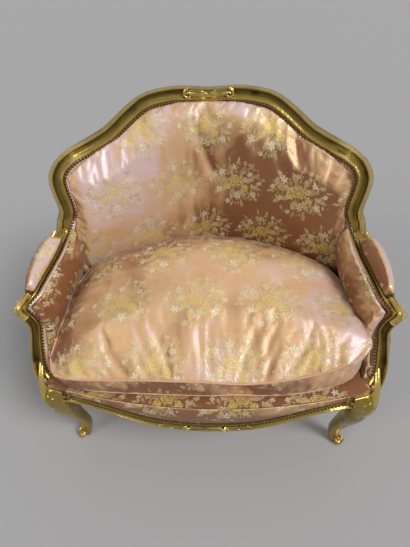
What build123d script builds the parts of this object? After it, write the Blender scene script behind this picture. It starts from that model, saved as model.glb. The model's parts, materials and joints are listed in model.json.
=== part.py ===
from build123d import *
import math
import os

# A marquise chair: a wide armchair with a moulded and carved beech frame, a bowed back
# that wraps forward into closed padded arms, and one loose cushion on a webbed, sprung seat.
# All sizes are in millimetres. X is the width, the front faces -Y, and Z is up.
# The origin is on the floor, under the middle of the chair.

os.makedirs("parts", exist_ok=True)

# Overall sizes; the width is measured between the outer beads of the arms
overall_width = 1000.0
overall_depth = 734.0
overall_height = 951.0
arm_height = 605.0
rail_top_height = 352.0
rail_height = 62.0
apron_drop = 40.0
deck_thickness = 20.0
rail_bottom_height = rail_top_height - rail_height
apron_height = rail_bottom_height - apron_drop
deck_height = rail_top_height + deck_thickness
half_width = overall_width / 2
half_depth = overall_depth / 2
back_rise = overall_height - arm_height
arm_rise = arm_height - rail_top_height

# Show wood moulding, from its outer edge inwards
outer_bead = 7.0
cove_width = 22.0
inner_bead = 8.0
tack_margin = 13.0
frame_depth = 32.0
cove_depth = 7.0
rebate_depth = 11.0
back_chamfer = 6.0
moulding_width = outer_bead + cove_width + inner_bead
member_width = moulding_width + tack_margin
nail_inset = tack_margin / 3
bead_flat_share = 0.22
cove_side_share = 0.28
inner_bead_top_share = 0.4
plain_step = 0.5
curve_share = 1 / 8
flatness = 0.0000001
plain_relief_share = 0.08

# Shape of the back: it leans by the rake and is bowed in plan, more at arm level
back_rake = 10.0
bow_radius_top = 638.0
bow_radius_arm = 516.0
bow_top_share = 0.68
bow_arm_share = 0.16
crest_face_y = half_depth - frame_depth

# Outer edge of the back, from the middle of the crest to the arm:
# shares of the half width, and of the rise above the arms
back_outline_shares = [
    (0.000, 0.983), (0.108, 0.994), (0.210, 1.000), (0.350, 0.977), (0.442, 0.916),
    (0.532, 0.824), (0.604, 0.751), (0.706, 0.694), (0.794, 0.659), (0.860, 0.604),
    (0.894, 0.532), (0.904, 0.471), (0.900, 0.390), (0.890, 0.309), (0.878, 0.205),
    (0.893, 0.139), (0.924, 0.090),
]
crest_joint_index = 8

# Arm: outer edge and tack line, then the way its moulded face looks and how full the moulding is.
# Places are shares of the half width, the half depth and the arm rise.
arm_station_shares = [
    ((0.928, 0.185, 1.115), (0.848, 0.218, 1.063), (-0.62, -0.60, 0.50), 1.00),
    ((0.964, 0.095, 1.059), (0.856, 0.095, 1.043), (-0.30, -0.25, 0.90), 0.15),
    ((0.986, -0.027, 1.028), (0.866, -0.027, 1.016), (-0.05, -0.05, 1.00), 0.15),
    ((0.992, -0.163, 1.008), (0.884, -0.163, 0.988), (-0.05, 0.00, 1.00), 0.15),
    ((0.986, -0.286, 0.996), (0.900, -0.286, 0.965), (-0.05, -0.05, 1.00), 0.15),
    ((0.974, -0.381, 0.984), (0.912, -0.376, 0.941), (-0.05, -0.10, 1.00), 0.30),
    ((0.982, -0.469, 0.980), (0.928, -0.436, 0.921), (-0.05, -0.30, 0.90), 0.90),
    ((0.994, -0.550, 0.962), (0.948, -0.501, 0.901), (-0.02, -0.65, 0.72), 1.00),
]
arm_depth = 27.0

# Arm support: outer edge, tack line and the way the face looks, from the elbow down to the seat
support_station_shares = [
    ((0.994, -0.550, 0.962), (0.948, -0.501, 0.901), (-0.02, -0.65, 0.72)),
    ((0.992, -0.574, 0.894), (0.942, -0.512, 0.846), (-0.02, -0.88, 0.35)),
    ((0.978, -0.567, 0.791), (0.922, -0.518, 0.763), (-0.05, -0.98, 0.05)),
    ((0.966, -0.567, 0.644), (0.910, -0.529, 0.632), (-0.10, -0.97, -0.10)),
    ((0.980, -0.605, 0.474), (0.918, -0.567, 0.498), (-0.10, -0.95, -0.20)),
    ((0.994, -0.654, 0.316), (0.924, -0.621, 0.348), (-0.10, -0.97, -0.10)),
    ((0.994, -0.703, 0.190), (0.926, -0.670, 0.221), (-0.10, -0.97, 0.10)),
    ((0.980, -0.757, 0.079), (0.914, -0.714, 0.126), (-0.15, -0.92, 0.30)),
    ((0.950, -0.801, 0.000), (0.884, -0.752, 0.047), (-0.20, -0.85, 0.45)),
    ((0.906, -0.828, -0.060), (0.846, -0.774, -0.012), (-0.20, -0.80, 0.60)),
]
support_depth = 30.0

# Front leg: the middle of its square block, then of each section of the leg below the block,
# as shares of the half width, the half depth and the rail top, and half of each section's side
leg_block_shares = (0.880, -0.790)
front_leg_shares = [
    (0.878, -0.790, 0.843), (0.876, -0.785, 0.750), (0.875, -0.780, 0.650), (0.872, -0.771, 0.540),
    (0.858, -0.749, 0.398), (0.844, -0.730, 0.270), (0.842, -0.722, 0.142), (0.862, -0.742, 0.000),
]
front_leg_halves = [25.0, 27.5, 26.0, 22.0, 18.0, 15.5, 14.5, 13.5]
leg_block_half = 27.0
leg_block_round = 12.0
leg_bulge_share = 0.14
leg_side_steps = 3
toe_radius = 13.0
toe_length = 25.0
toe_reach = 17.0

# Rear post below the arm, and the rear leg: middle of each section as shares of the half width,
# the half depth and the rail top, its side and its turn in degrees
rear_post_shares = [
    (0.905, 0.250, 1.700), (0.895, 0.272, 1.560), (0.880, 0.284, 1.280), (0.872, 0.289, 0.970),
    (0.871, 0.290, 0.860), (0.870, 0.351, 0.511), (0.880, 0.440, 0.227), (0.888, 0.514, 0.000),
]
rear_post_sides = [40.0, 41.0, 41.0, 41.0, 41.0, 37.0, 32.0, 28.0]
rear_block_side = 44.0
rear_post_turns = [42.0, 34.0, 18.0, 0.0]
seat_level_index = 3

# Seat rails
front_bow_radius = 1650.0
front_rail_depth = 30.0
apron_shares = [
    (0.000, 0.000, 1.00), (0.165, 0.020, 1.00), (0.310, 0.110, 0.98), (0.430, 0.290, 0.94),
    (0.540, 0.490, 0.86), (0.640, 0.620, 0.78), (0.720, 0.665, 0.72), (0.790, 0.640, 0.72),
    (0.826, 0.560, 0.74),
]
side_rail_depth = 28.0
side_rail_swell = 8.0
side_rail_arch = 12.0
side_moulding_share = 0.85
side_rail_steps = 8
back_rail_depth = 26.0
back_rail_bow = 143.0
back_rail_end_inset = 9.0

# Inner rails and blocks
tacking_rail_height = 24.0
tacking_rail_depth = 20.0
tacking_rail_lift = 14.0
batten_width = 22.0
batten_height = 24.0
corner_block_leg = 55.0
corner_block_height = 40.0
arm_tacking_depth = 12.0

# Dowels that hold the frame together
dowel_radius = 4.0
dowel_sides = 6
dowel_length = 40.0
dowel_clearance = 0.1
dowel_spacing = 20.0
crest_dowel_shares = [0.28, 0.72]
arm_dowel_position = 0.6

# Webbing, springs and cloths of the seat
webbing_width = 50.0
webbing_thickness = 1.5
webbing_lift = 10.0
webbing_height = rail_bottom_height + webbing_lift
webbing_pitch_across = 125.0
webbing_pitch_deep = 120.0
webbing_count_across = 7
webbing_count_deep = 4
webbing_middle_share = -0.16
spring_count_across = 4
spring_count_deep = 3
spring_pitch_across = 200.0
spring_pitch_deep = 135.0
spring_turns = 2.5
spring_steps = 16
spring_top_radius = 34.0
spring_waist_radius = 24.0
spring_wire = 3.6
hessian_thickness = 1.5
deck_cover_thickness = 2.0
dust_cover_thickness = 0.8
dust_cover_lift = 6.0
seam_gap = 0.3

# Upholstery
back_pad_crown = 38.0
back_pad_edge = 4.0
back_pad_foot_share = 0.85
back_pad_fullness_shares = [0.5, 0.75, 1.0, 1.0, 1.0, 1.0, 1.0, 0.95, 0.85, 0.7, 0.5, 0.25]
back_slice_shares = [0.0, 0.2, 0.4, 0.54, 0.64, 0.73, 0.80, 0.856, 0.90, 0.94, 0.974, 1.0]
slice_steps = 16
back_strap_thickness = 1.5
back_strap_pitch = 90.0
back_strap_count = 7
arm_pad_crown = 17.0
arm_pad_foot = 6.0
arm_pad_profile_shares = [(0.0, 0.0), (0.38, 0.0), (0.68, 1.0), (0.88, 0.9), (1.0, 0.25)]
arm_pad_seat_x = 433.5
wood_gap = 0.5
outside_cover_thickness = 3.0
manchette_height = 33.0
manchette_swell = 3.0
manchette_margin = 11.0
manchette_side_share = 0.45
manchette_end_share = 1 / 3

# Places between the arm's stations, and how full the arm top's pad is at each, as a share
manchette_fullness_shares = [
    (0.70, 0.35), (0.85, 0.72), (1.3, 0.96), (2.4, 1.0), (3.6, 1.0), (4.6, 0.92), (5.0, 0.7), (5.2, 0.35),
]
border_crown_share = 0.55
arm_pad_foot_share = 0.2
corner_reach_share = 0.8
arm_tacking_skew = 6.0
border_crown = 11.0
border_edge = 3.0
border_gap = 0.5

# Seat cushion
cushion_under = 9.0
cushion_boxing = 66.0
cushion_crown = 86.0
cushion_draw_in = 5.0
cushion_rise_share = 0.085
cushion_wall = 3.0
piping_size = 6.0
cushion_clearance = 0.6
cushion_shares = [
    (0.000, -0.885), (0.220, -0.883), (0.440, -0.876), (0.620, -0.864), (0.740, -0.848),
    (0.800, -0.815), (0.835, -0.760), (0.848, -0.660), (0.850, -0.500), (0.846, -0.320),
    (0.832, -0.080), (0.797, 0.095), (0.730, 0.220), (0.600, 0.335), (0.430, 0.430),
    (0.230, 0.510), (0.000, 0.548),
]
under_shares = [(0.80, 0.00), (0.94, 0.30), (1.00, 1.00)]
crown_shares = [1.00, 0.95, 0.84, 0.66, 0.42, 0.14]
crown_power = 2.6


def blend(low, high, share):
    """A value part of the way from low to high."""
    return low + (high - low) * share


def place(x_share, y_share, rise_share):
    """A point from shares of the half width, the half depth and the arm rise."""
    return Vector(x_share * half_width, y_share * half_depth, rail_top_height + rise_share * arm_rise)


def mirrored(shape):
    """The same shape on the other side of the chair."""
    return shape.mirror(Plane.YZ)


def line(start, end):
    return Edge.make_line(start, end)


def arc(start, middle, end):
    return Edge.make_three_point_arc(start, middle, end)


def flat_faces(a, b, c, d):
    """One flat face between four corners, or two where they twist."""
    if abs((b - a).cross(c - a).normalized().dot(d - a)) < flatness:
        return [Face(Wire.make_polygon([a, b, c, d], close=True))]
    return [Face(Wire.make_polygon([a, b, c], close=True)), Face(Wire.make_polygon([a, c, d], close=True))]


def skin(rows):
    """A solid through rows of corners, each row one flat closed outline."""
    faces = [Face(Wire.make_polygon(row, close=True)) for row in (rows[0], rows[-1])]
    for first, second in zip(rows, rows[1:]):
        ring = list(zip(first, second))
        for (a, d), (b, c) in zip(ring, ring[1:] + ring[:1]):
            faces += flat_faces(a, b, c, d)
    return Solid(Shell(faces))


def plan_prism(wire, bottom, top):
    """A plan outline raised from one height to another."""
    face = Face(wire).moved(Location((0, 0, bottom)))
    return Solid.extrude(face, Vector(0, 0, top - bottom))


def box_between(low, high):
    """A block from its lowest to its highest corner."""
    size = high - low
    return Solid.make_box(size.X, size.Y, size.Z).moved(Location(low))


def peg(middle, direction, radius, length):
    """A round peg centred on a point."""
    way = direction.normalized()
    return Solid.make_cylinder(radius, length, Plane(origin=middle - way * (length / 2), z_dir=way))


def dowel(middle, direction, clearance=0.0):
    """A six-sided dowel, or with a clearance the hole for one."""
    way = direction.normalized()
    length = dowel_length + 2 * clearance
    plane = Plane(origin=middle - way * (length / 2), z_dir=way)
    corners = []
    for index in range(dowel_sides):
        angle = 2 * math.pi * index / dowel_sides
        radius = dowel_radius + clearance
        corners.append(plane.from_local_coords(Vector(radius * math.cos(angle), radius * math.sin(angle))))
    return Solid.extrude(Face(Wire.make_polygon(corners, close=True)), way * length)


def curved_rows(rows):
    """Rows of values, with one more row set between each two where a smooth curve runs."""
    full = []
    for index, (first, second) in enumerate(zip(rows, rows[1:])):
        before = rows[max(index - 1, 0)]
        after = rows[min(index + 2, len(rows) - 1)]
        between = []
        for a, b, c, d in zip(before, first, second, after):
            middle = (b + c) / 2
            between.append(middle + (middle - (a + d) / 2) * curve_share)
        full += [first, tuple(between)]
    return full + [rows[-1]]


def curved(points):
    """Points on a smooth curve through the given ones, twice as close."""
    return [row[0] for row in curved_rows([(point,) for point in points])]


def carved(shape, *tools):
    """A solid less the room that its neighbours take; crumbs that this leaves are dropped."""
    left = shape.cut(*tools)
    return max(left.solids(), key=lambda solid: solid.volume)


def all_of(shape, *tools):
    """A group of solids less the room that others take."""
    return shape.cut(*tools).solids()


# The bowed, leaning face of the back

def bow_share(z):
    upper = arm_height + bow_top_share * back_rise
    lower = arm_height + bow_arm_share * back_rise
    return min(max((upper - z) / (upper - lower), 0.0), 1.0)


def back_face_y(x, z):
    """Depth of the show wood's face on the back."""
    bow = blend(1 / (2 * bow_radius_top), 1 / (2 * bow_radius_arm), bow_share(z))
    lean = (overall_height - z) * math.tan(math.radians(back_rake))
    return crest_face_y - lean - bow * x * x


def back_facing(x, z):
    """The way the back's face looks at a place."""
    step = outer_bead / 2
    slope_x = (back_face_y(x + step, z) - back_face_y(x - step, z)) / (2 * step)
    slope_z = (back_face_y(x, z + step) - back_face_y(x, z - step)) / (2 * step)
    return Vector(slope_x, -1, slope_z).normalized()


def behind_back(x, z, distance):
    """A point a distance behind the back's face."""
    return Vector(x, back_face_y(x, z) + distance / abs(back_facing(x, z).Y), z)


def back_rim():
    """Points on the outer edge of the back, from the left arm over the crest to the right arm."""
    right = []
    for x_share, rise_share in back_outline_shares:
        x = x_share * half_width
        z = arm_height + rise_share * back_rise
        right.append(Vector(x, back_face_y(x, z), z))
    left = [Vector(-point.X, point.Y, point.Z) for point in right[:0:-1]]
    return left + right


def back_stations():
    """Each point of the rim, the direction across the moulding, and the way the face looks."""
    rim = back_rim()
    stations = []
    for index, point in enumerate(rim):
        ahead = rim[min(index + 1, len(rim) - 1)]
        behind = rim[max(index - 1, 0)]
        facing = back_facing(point.X, point.Z)
        across = (ahead - behind).normalized().cross(facing).normalized()
        stations.append((point, across, facing))
    return stations


def right_tack_points():
    """The line of nails on the right half of the back, from the crest to the arm."""
    half = back_stations()[len(back_outline_shares) - 1:]
    return [point + across * (moulding_width + nail_inset) for point, across, facing in half]


def tack_half_width(z):
    """Half the width of the upholstered opening of the back at a height."""
    points = right_tack_points()[2:]
    for upper, lower in zip(points, points[1:]):
        if lower.Z <= z <= upper.Z:
            return blend(lower.X, upper.X, (z - lower.Z) / (upper.Z - lower.Z))
    if z > points[0].Z:
        return points[0].X
    return back_pad_foot_share * half_width


def tack_height(x):
    """Height of the nail line over a place along the crest."""
    points = right_tack_points()
    for inner, outer in zip(points, points[1:]):
        if inner.X <= abs(x) <= outer.X:
            return blend(inner.Z, outer.Z, (abs(x) - inner.X) / (outer.X - inner.X))
    return points[-1].Z


# The moulded section

def moulded_section(origin, across, facing, width, depth, moulding, relief=1.0, rebate=rebate_depth):
    """Outline of a moulded member: bead, cove, bead and tack rebate on its face, plain behind."""
    scale = moulding / moulding_width
    bead = outer_bead * scale
    cove_end = (outer_bead + cove_width) * scale
    drop = outer_bead / 2 * relief
    flat = bead * bead_flat_share
    floor = drop + cove_depth * relief

    def at(inwards, out):
        return origin + across * inwards + facing * out

    corners = [
        at(0, back_chamfer - depth), at(0, -drop), at(flat, 0), at(bead - flat, 0), at(bead, -drop),
        at(blend(bead, cove_end, cove_side_share), -floor), at(blend(cove_end, bead, cove_side_share), -floor),
        at(cove_end, -drop), at(blend(cove_end, moulding, inner_bead_top_share), -drop / 3),
        at(moulding, -drop),
        at(moulding, -rebate), at(width, -rebate), at(width, -depth), at(back_chamfer, -depth),
    ]
    return corners


def paired_axes(outer, inner, looks):
    """Directions across and out of a moulded face between an outer edge and a tack line."""
    across = (inner - outer).normalized()
    wish = Vector(*looks)
    return across, (wish - across * wish.dot(across)).normalized()


def paired_section(outer, inner, looks, depth, relief=1.0):
    """A moulded section between an outer edge and a tack line."""
    across, facing = paired_axes(outer, inner, looks)
    reach = (inner - outer).length
    width = reach + tack_margin - nail_inset
    return moulded_section(outer, across, facing, width, depth, reach - nail_inset, relief)


def rounded_square(x, y, z, half):
    """A level square outline with slightly swelling sides."""
    corners = []
    for index in range(4 * leg_side_steps):
        side, step = divmod(index, leg_side_steps)
        along = 2 * step / leg_side_steps - 1
        out = half * (1 + leg_bulge_share * (1 - along * along))
        turn = side * math.pi / 2
        corners.append(Vector(half * along, -out, 0).rotate(Axis.Z, math.degrees(turn)) + Vector(x, y, z))
    return corners


# Frame members before their dowel holes

def crest_blank():
    stations = back_stations()
    middle = len(back_outline_shares) - 1
    first = middle - crest_joint_index
    last = middle + crest_joint_index
    return skin(back_sections(stations[first:last + 1]))


def back_sections(stations):
    """Moulded sections along a run of the back's rim."""
    sections = []
    for point, across, facing in curved_rows(stations):
        size = (member_width, frame_depth, moulding_width)
        sections.append(moulded_section(point, across.normalized(), facing.normalized(), *size))
    return sections


def post_section(shares, side, turn):
    """A nearly plain section of the post, made of the same strips as the moulding."""
    angle = math.radians(turn)
    facing = Vector(-math.sin(angle), -math.cos(angle), 0)
    across = Vector(-math.cos(angle), math.sin(angle), 0)
    centre = Vector(shares[0] * half_width, shares[1] * half_depth, shares[2] * rail_top_height)
    origin = centre - across * (side / 2) + facing * (side / 2)
    moulding = side * moulding_width / member_width
    rebate = outer_bead / 2 * plain_relief_share + plain_step
    return moulded_section(origin, across, facing, side, side, moulding, plain_relief_share, rebate)


def square(x, y, z, half):
    corners = [(-half, -half), (half, -half), (half, half), (-half, half)]
    return [Vector(x + dx, y + dy, z) for dx, dy in corners]


def post_block():
    """Square of the post between the seat rails."""
    centre = rear_post_shares[seat_level_index]
    x, y = centre[0] * half_width, centre[1] * half_depth
    half = rear_block_side / 2
    low = Vector(x - half, y - half, rail_bottom_height)
    return box_between(low, low + Vector(2 * half, 2 * half, rail_height))


def rear_leg():
    """The post runs on below its block as a raking square leg."""
    rows = []
    for shares, side in list(zip(rear_post_shares, rear_post_sides))[seat_level_index + 1:]:
        rows.append((shares[0] * half_width, shares[1] * half_depth, shares[2] * rail_top_height, side / 2))
    return skin([square(*row) for row in curved_rows(rows)])


def rear_post_blank():
    """Moulded stile from the shoulder to the arm, running on as the post and the rear leg."""
    start = len(back_outline_shares) - 1 + crest_joint_index
    stile = back_sections(back_stations()[start:-1])
    rows = list(zip(rear_post_shares, rear_post_sides, rear_post_turns))[:seat_level_index + 1]
    upper = skin(stile + [post_section(*row) for row in rows])
    return upper.fuse(post_block(), rear_leg()).solids()[0]


def arm_blank(post):
    rows = []
    for outer, inner, looks, relief in arm_station_shares:
        rows.append((place(*outer), place(*inner), Vector(*looks), relief))
    sections = []
    for outer, inner, looks, relief in curved_rows(rows):
        sections.append(paired_section(outer, inner, looks, arm_depth, relief))
    return carved(skin(sections), post)


def support_blank():
    """The arm support, mitred to the arm at the elbow and flat on the seat frame."""
    rows = [(place(*outer), place(*inner), Vector(*looks)) for outer, inner, looks in support_station_shares]
    sections = [paired_section(outer, inner, looks, support_depth) for outer, inner, looks in curved_rows(rows)]
    below = box_between(Vector(0, -half_depth, 0), Vector(overall_width, half_depth, rail_top_height))
    return carved(skin(sections), below)


def leg_block():
    """Square at the top of the front leg, between the seat rails, rounded on its outer corner."""
    x, y = leg_block_shares[0] * half_width, leg_block_shares[1] * half_depth
    half = leg_block_half
    near = half - leg_block_round
    round_middle = near + leg_block_round * math.cos(math.pi / 4)
    right, front = Vector(x + half, y - near), Vector(x + near, y - half)
    corners = [front, Vector(x - half, y - half), Vector(x - half, y + half), Vector(x + half, y + half), right]
    edges = [line(corner, following) for corner, following in zip(corners, corners[1:])]
    edges.append(arc(right, Vector(x + round_middle, y - round_middle), front))
    return plan_prism(Wire(edges), rail_bottom_height, rail_top_height)


def front_leg_blank():
    """Cabriole leg with a scrolled toe."""
    rows = []
    for (x_share, y_share, z_share), half in zip(front_leg_shares, front_leg_halves):
        rows.append((x_share * half_width, y_share * half_depth, z_share * rail_top_height, half))
    foot_x, foot_y = rows[-1][:2]
    reach = toe_reach / math.sqrt(2)
    toe = peg(Vector(foot_x + reach, foot_y - reach, toe_radius), Vector(1, 1, 0), toe_radius, toe_length)
    leg = skin([rounded_square(*row) for row in curved_rows(rows)])
    return leg.fuse(leg_block(), toe).solids()[0]


def front_face_y(x):
    """Depth of the front rail's face."""
    return -half_depth + x * x / (2 * front_bow_radius)


def front_rail_stations():
    """Place and height along the bottom edge of the front rail, with the moulding's width at each."""
    right = []
    for x_share, arch_share, moulding_share in apron_shares:
        x = x_share * half_width
        z = blend(apron_height, rail_top_height, arch_share)
        right.append((x, z, moulding_share * moulding_width))
    left = [(-x, z, moulding) for x, z, moulding in right[:0:-1]]
    return left + right


def front_facing(x):
    return Vector(x / front_bow_radius, -1, 0).normalized()


def front_rail_blank():
    """Bowed front rail, low in the middle and arched beside the legs."""
    sections = []
    for x, z, moulding in curved_rows(front_rail_stations()):
        point = Vector(x, front_face_y(x), z)
        width = rail_top_height - z
        facing = front_facing(x)
        sections.append(moulded_section(point, Vector(0, 0, 1), facing, width, front_rail_depth, moulding))
    return skin(sections)


def side_rail_ends():
    """Front and rear end of the side rail's outer face."""
    front = leg_block_shares
    rear = rear_post_shares[seat_level_index]
    half = rear_block_side / 2
    start = Vector(front[0] * half_width + leg_block_half, front[1] * half_depth + leg_block_half)
    return start, Vector(rear[0] * half_width + half, rear[1] * half_depth - half)


def side_rail_blank():
    """Side rail between the front leg and the rear post, gently swelled and arched."""
    start, end = side_rail_ends()
    sections = []
    for step in range(side_rail_steps + 1):
        share = step / side_rail_steps
        swell = side_rail_swell * math.sin(math.pi * share)
        arch = side_rail_arch * math.cos(math.pi * share) ** 2
        bottom = rail_bottom_height + arch
        point = Vector(blend(start.X, end.X, share) + swell, blend(start.Y, end.Y, share), bottom)
        moulding = moulding_width * side_moulding_share
        width = rail_top_height - bottom
        depth = side_rail_depth + swell
        sections.append(moulded_section(point, Vector(0, 0, 1), Vector(1, 0, 0), width, depth, moulding))
    return skin(sections)


def side_face_x(y):
    """Outer face of the side rail at a depth."""
    start, end = side_rail_ends()
    share = min(max((y - start.Y) / (end.Y - start.Y), 0.0), 1.0)
    return blend(start.X, end.X, share) + side_rail_swell * math.sin(math.pi * share)


def side_inner_x(y):
    """Straight inner face of the side rail at a depth."""
    start, end = side_rail_ends()
    return blend(start.X, end.X, (y - start.Y) / (end.Y - start.Y)) - side_rail_depth


# Bands that follow the bowed back

def back_slice(z, half, near, far, crown=0.0):
    """A level outline between two distances behind the back's face, crowned in front."""
    front = []
    rear = []
    for step in range(slice_steps + 1):
        share = 2 * step / slice_steps - 1
        x = share * half
        front.append(behind_back(x, z, near - crown * (1 - share ** 4)))
        rear.append(behind_back(x, z, far))
    return front + rear[::-1]


def back_band(bottom, top, half, near, far):
    """A rail or cloth of even width that follows the back's bow."""
    return skin([back_slice(bottom, half, near, far), back_slice(top, half, near, far)])


def post_inner_x():
    rear = rear_post_shares[seat_level_index]
    return rear[0] * half_width - rear_block_side / 2


def back_rail_angle():
    """Angle of the rear seat rail's curve where it meets the post."""
    end_x = post_inner_x()
    return math.asin(2 * end_x * back_rail_bow / (end_x ** 2 + back_rail_bow ** 2))


def back_rail_arc(depth):
    """Ends and middle of the rear seat rail's curve at a depth in from its outer face."""
    end_x = post_inner_x()
    rear = rear_post_shares[seat_level_index]
    outer_y = rear[1] * half_depth + rear_block_side / 2 - back_rail_end_inset
    end_y = outer_y - depth / math.cos(back_rail_angle())
    return Vector(-end_x, end_y), Vector(0, outer_y + back_rail_bow - depth), Vector(end_x, end_y)


def back_rail_blank():
    """Rear seat rail, bowed to follow the back."""
    outer = back_rail_arc(0)
    inner = back_rail_arc(back_rail_depth)
    wire = Wire([arc(*outer), line(outer[-1], inner[-1]), arc(*inner[::-1]), line(inner[0], outer[0])])
    return plan_prism(wire, rail_bottom_height, rail_top_height)


def back_tacking_rail(posts):
    """Lower rail of the back, that its webbing and covers are tacked to."""
    bottom = deck_height + tacking_rail_lift
    top = bottom + tacking_rail_height
    half = post_inner_x() + dowel_spacing / 2
    chord_sag = (2 * half / slice_steps) ** 2 / (8 * bow_radius_arm)
    near = rebate_depth + chord_sag
    return carved(back_band(bottom, top, half, near, rebate_depth + tacking_rail_depth - seam_gap), *posts)


def slice_heights():
    bottom = deck_height + seam_gap
    top = max(point.Z for point in right_tack_points())
    return [blend(bottom, top, share) for share in back_slice_shares]


def inside_back_pad(members):
    """Padded back inside the line of nails, thickest in the middle."""
    strap_sag = webbing_width ** 2 / (8 * bow_radius_arm)
    far = rebate_depth - back_strap_thickness - strap_sag - seam_gap
    near = far - back_pad_edge
    slices = []
    for z, fullness in zip(slice_heights(), back_pad_fullness_shares):
        slices.append(back_slice(z, tack_half_width(z), near, far, back_pad_crown * fullness))
    return carved(skin(slices), *members)


def outside_back_cover(members):
    """Cloth stretched over the rear of the back frame."""
    near = frame_depth + wood_gap
    far = near + outside_cover_thickness
    heights = [rail_top_height + seam_gap] + slice_heights()[1:]
    return carved(skin([back_slice(z, tack_half_width(z), near, far) for z in heights]), *members)


def back_webbing():
    """Upright straps tacked from the crest to the lower rail, behind the padding."""
    straps = []
    for index in range(back_strap_count):
        x = (index - (back_strap_count - 1) / 2) * back_strap_pitch
        bottom = deck_height + tacking_rail_lift
        top = tack_height(abs(x) + webbing_width / 2)
        near = rebate_depth - back_strap_thickness - seam_gap / 2
        rows = []
        for z in [bottom] + [z for z in slice_heights() if bottom < z < top] + [top]:
            left, right = x - webbing_width / 2, x + webbing_width / 2
            far = rebate_depth - seam_gap / 2
            rows.append([
                behind_back(left, z, near), behind_back(right, z, near),
                behind_back(right, z, far), behind_back(left, z, far),
            ])
        straps.append(skin(rows))
    return straps


# Closed arms

def arm_tack_line():
    """Tack line of the right arm and its support, from the post to the seat."""
    arm = [place(*inner) for outer, inner, looks, relief in arm_station_shares[1:]]
    support = [place(*inner) for outer, inner, looks in support_station_shares[2:-2]]
    return arm, support


def inside_arm_pad(back_pad, members):
    """Padding of the arm's inside, from the back to the support and down to the deck."""
    arm, support_tacks = arm_tack_line()
    rear_y = side_rail_ends()[1].Y - tack_margin
    behind = Vector(arm[0].X, rear_y, arm[0].Z)
    margin = tack_margin - nail_inset + wood_gap
    bottom = deck_height + seam_gap
    outer_bottom = arm_pad_seat_x + arm_pad_foot
    sections = []
    for tack in [behind] + arm + support_tacks:
        top = tack.Z - wood_gap
        outer_top = tack.X - margin
        fullness = min((top - bottom) / arm_rise, 1.0)
        points = []
        for share, bulge in arm_pad_profile_shares:
            x = blend(arm_pad_seat_x, outer_top - back_pad_edge, share) - bulge * arm_pad_crown * fullness
            points.append(Vector(x, tack.Y, blend(bottom, top, share)))
        high = Vector(outer_top, tack.Y, top)
        lowest = blend(bottom, top, arm_pad_foot_share)
        under = Vector(outer_top, tack.Y, max(top - arm_depth - wood_gap, lowest))
        low = Vector(outer_bottom, tack.Y, bottom)
        sections.append(curved(points) + [high, under, low])
    return carved(skin(sections), back_pad, *members)


def outside_arm_cover(members):
    """Cloth over the outside of the arm, between the arm, its support, the post and the side rail."""
    arm, support = arm_tack_line()
    outers = [place(*outer) for outer, inner, looks, relief in arm_station_shares[1:]]
    corners = [(outer.X, tack.Y, tack.Z - arm_depth) for outer, tack in zip(outers, arm[:-1])]
    for shares, tack in zip(support_station_shares[2:-2], support):
        corners.append((place(*shares[0]).X, tack.Y + support_depth / 2, tack.Z))
    rear_y = side_rail_ends()[1].Y - tack_margin
    corners.insert(0, (corners[0][0], rear_y, corners[0][2]))
    sections = []
    for outer_x, y, top in corners:
        foot = Vector(side_face_x(y) - plain_step - outside_cover_thickness, y, rail_top_height)
        head = Vector(outer_x - rebate_depth, y, top)
        out = Vector(outside_cover_thickness, 0, 0)
        sections.append([foot, foot + out, head + out, head])
    return carved(skin(sections), *members)


def arm_tacking_rail(members):
    """Rail low in the arm, between the post and the support, for the inside cover's edge."""
    bottom = deck_height + tacking_rail_lift
    start, end = side_rail_ends()
    inner_x = arm_pad_seat_x + arm_pad_foot + seam_gap
    out = Vector(arm_tacking_depth, 0)
    rear = Vector(inner_x, end.Y + dowel_spacing / 2)
    front = Vector(inner_x + arm_tacking_skew, start.Y)
    corners = [rear, rear + out, front + out, front]
    bar = plan_prism(Wire.make_polygon(corners, close=True), bottom, bottom + tacking_rail_height)
    return carved(bar, *members)


def arm_section_at(position):
    """Outer edge, tack line and looks of the arm at a place between its stations."""
    index = min(int(position), len(arm_station_shares) - 2)
    share = position - index
    before = arm_station_shares[index]
    after = arm_station_shares[index + 1]
    parts = []
    for part in range(3):
        first, second = Vector(*before[part]), Vector(*after[part])
        parts.append(first + (second - first) * share)
    outer, inner, looks = parts
    return place(*outer), place(*inner), looks


def manchette():
    """Stuffed pad nailed along the top of the arm."""
    sections = []
    for position, fullness in curved_rows(manchette_fullness_shares):
        outer, inner, looks = arm_section_at(position)
        across, facing = paired_axes(outer, inner, looks)
        width = (inner - outer).length - manchette_margin
        height = manchette_height * fullness
        outer = outer + facing * border_gap
        side = manchette_side_share
        drawn_in = width * (1 - fullness) * manchette_end_share
        swell = manchette_swell * fullness
        sections.append(curved([
            outer + across * drawn_in,
            outer - across * swell + facing * (height * side),
            outer + across * (width * side) + facing * height,
            outer + across * (width + swell) + facing * (height * side),
            outer + across * (width - drawn_in),
        ]))
    return skin(sections)


# Seat

def front_inner_y(x, distance):
    """Depth of a line that runs a distance behind the front rail's face."""
    return front_face_y(x) + distance * math.sqrt(1 + (x / front_bow_radius) ** 2)


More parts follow.
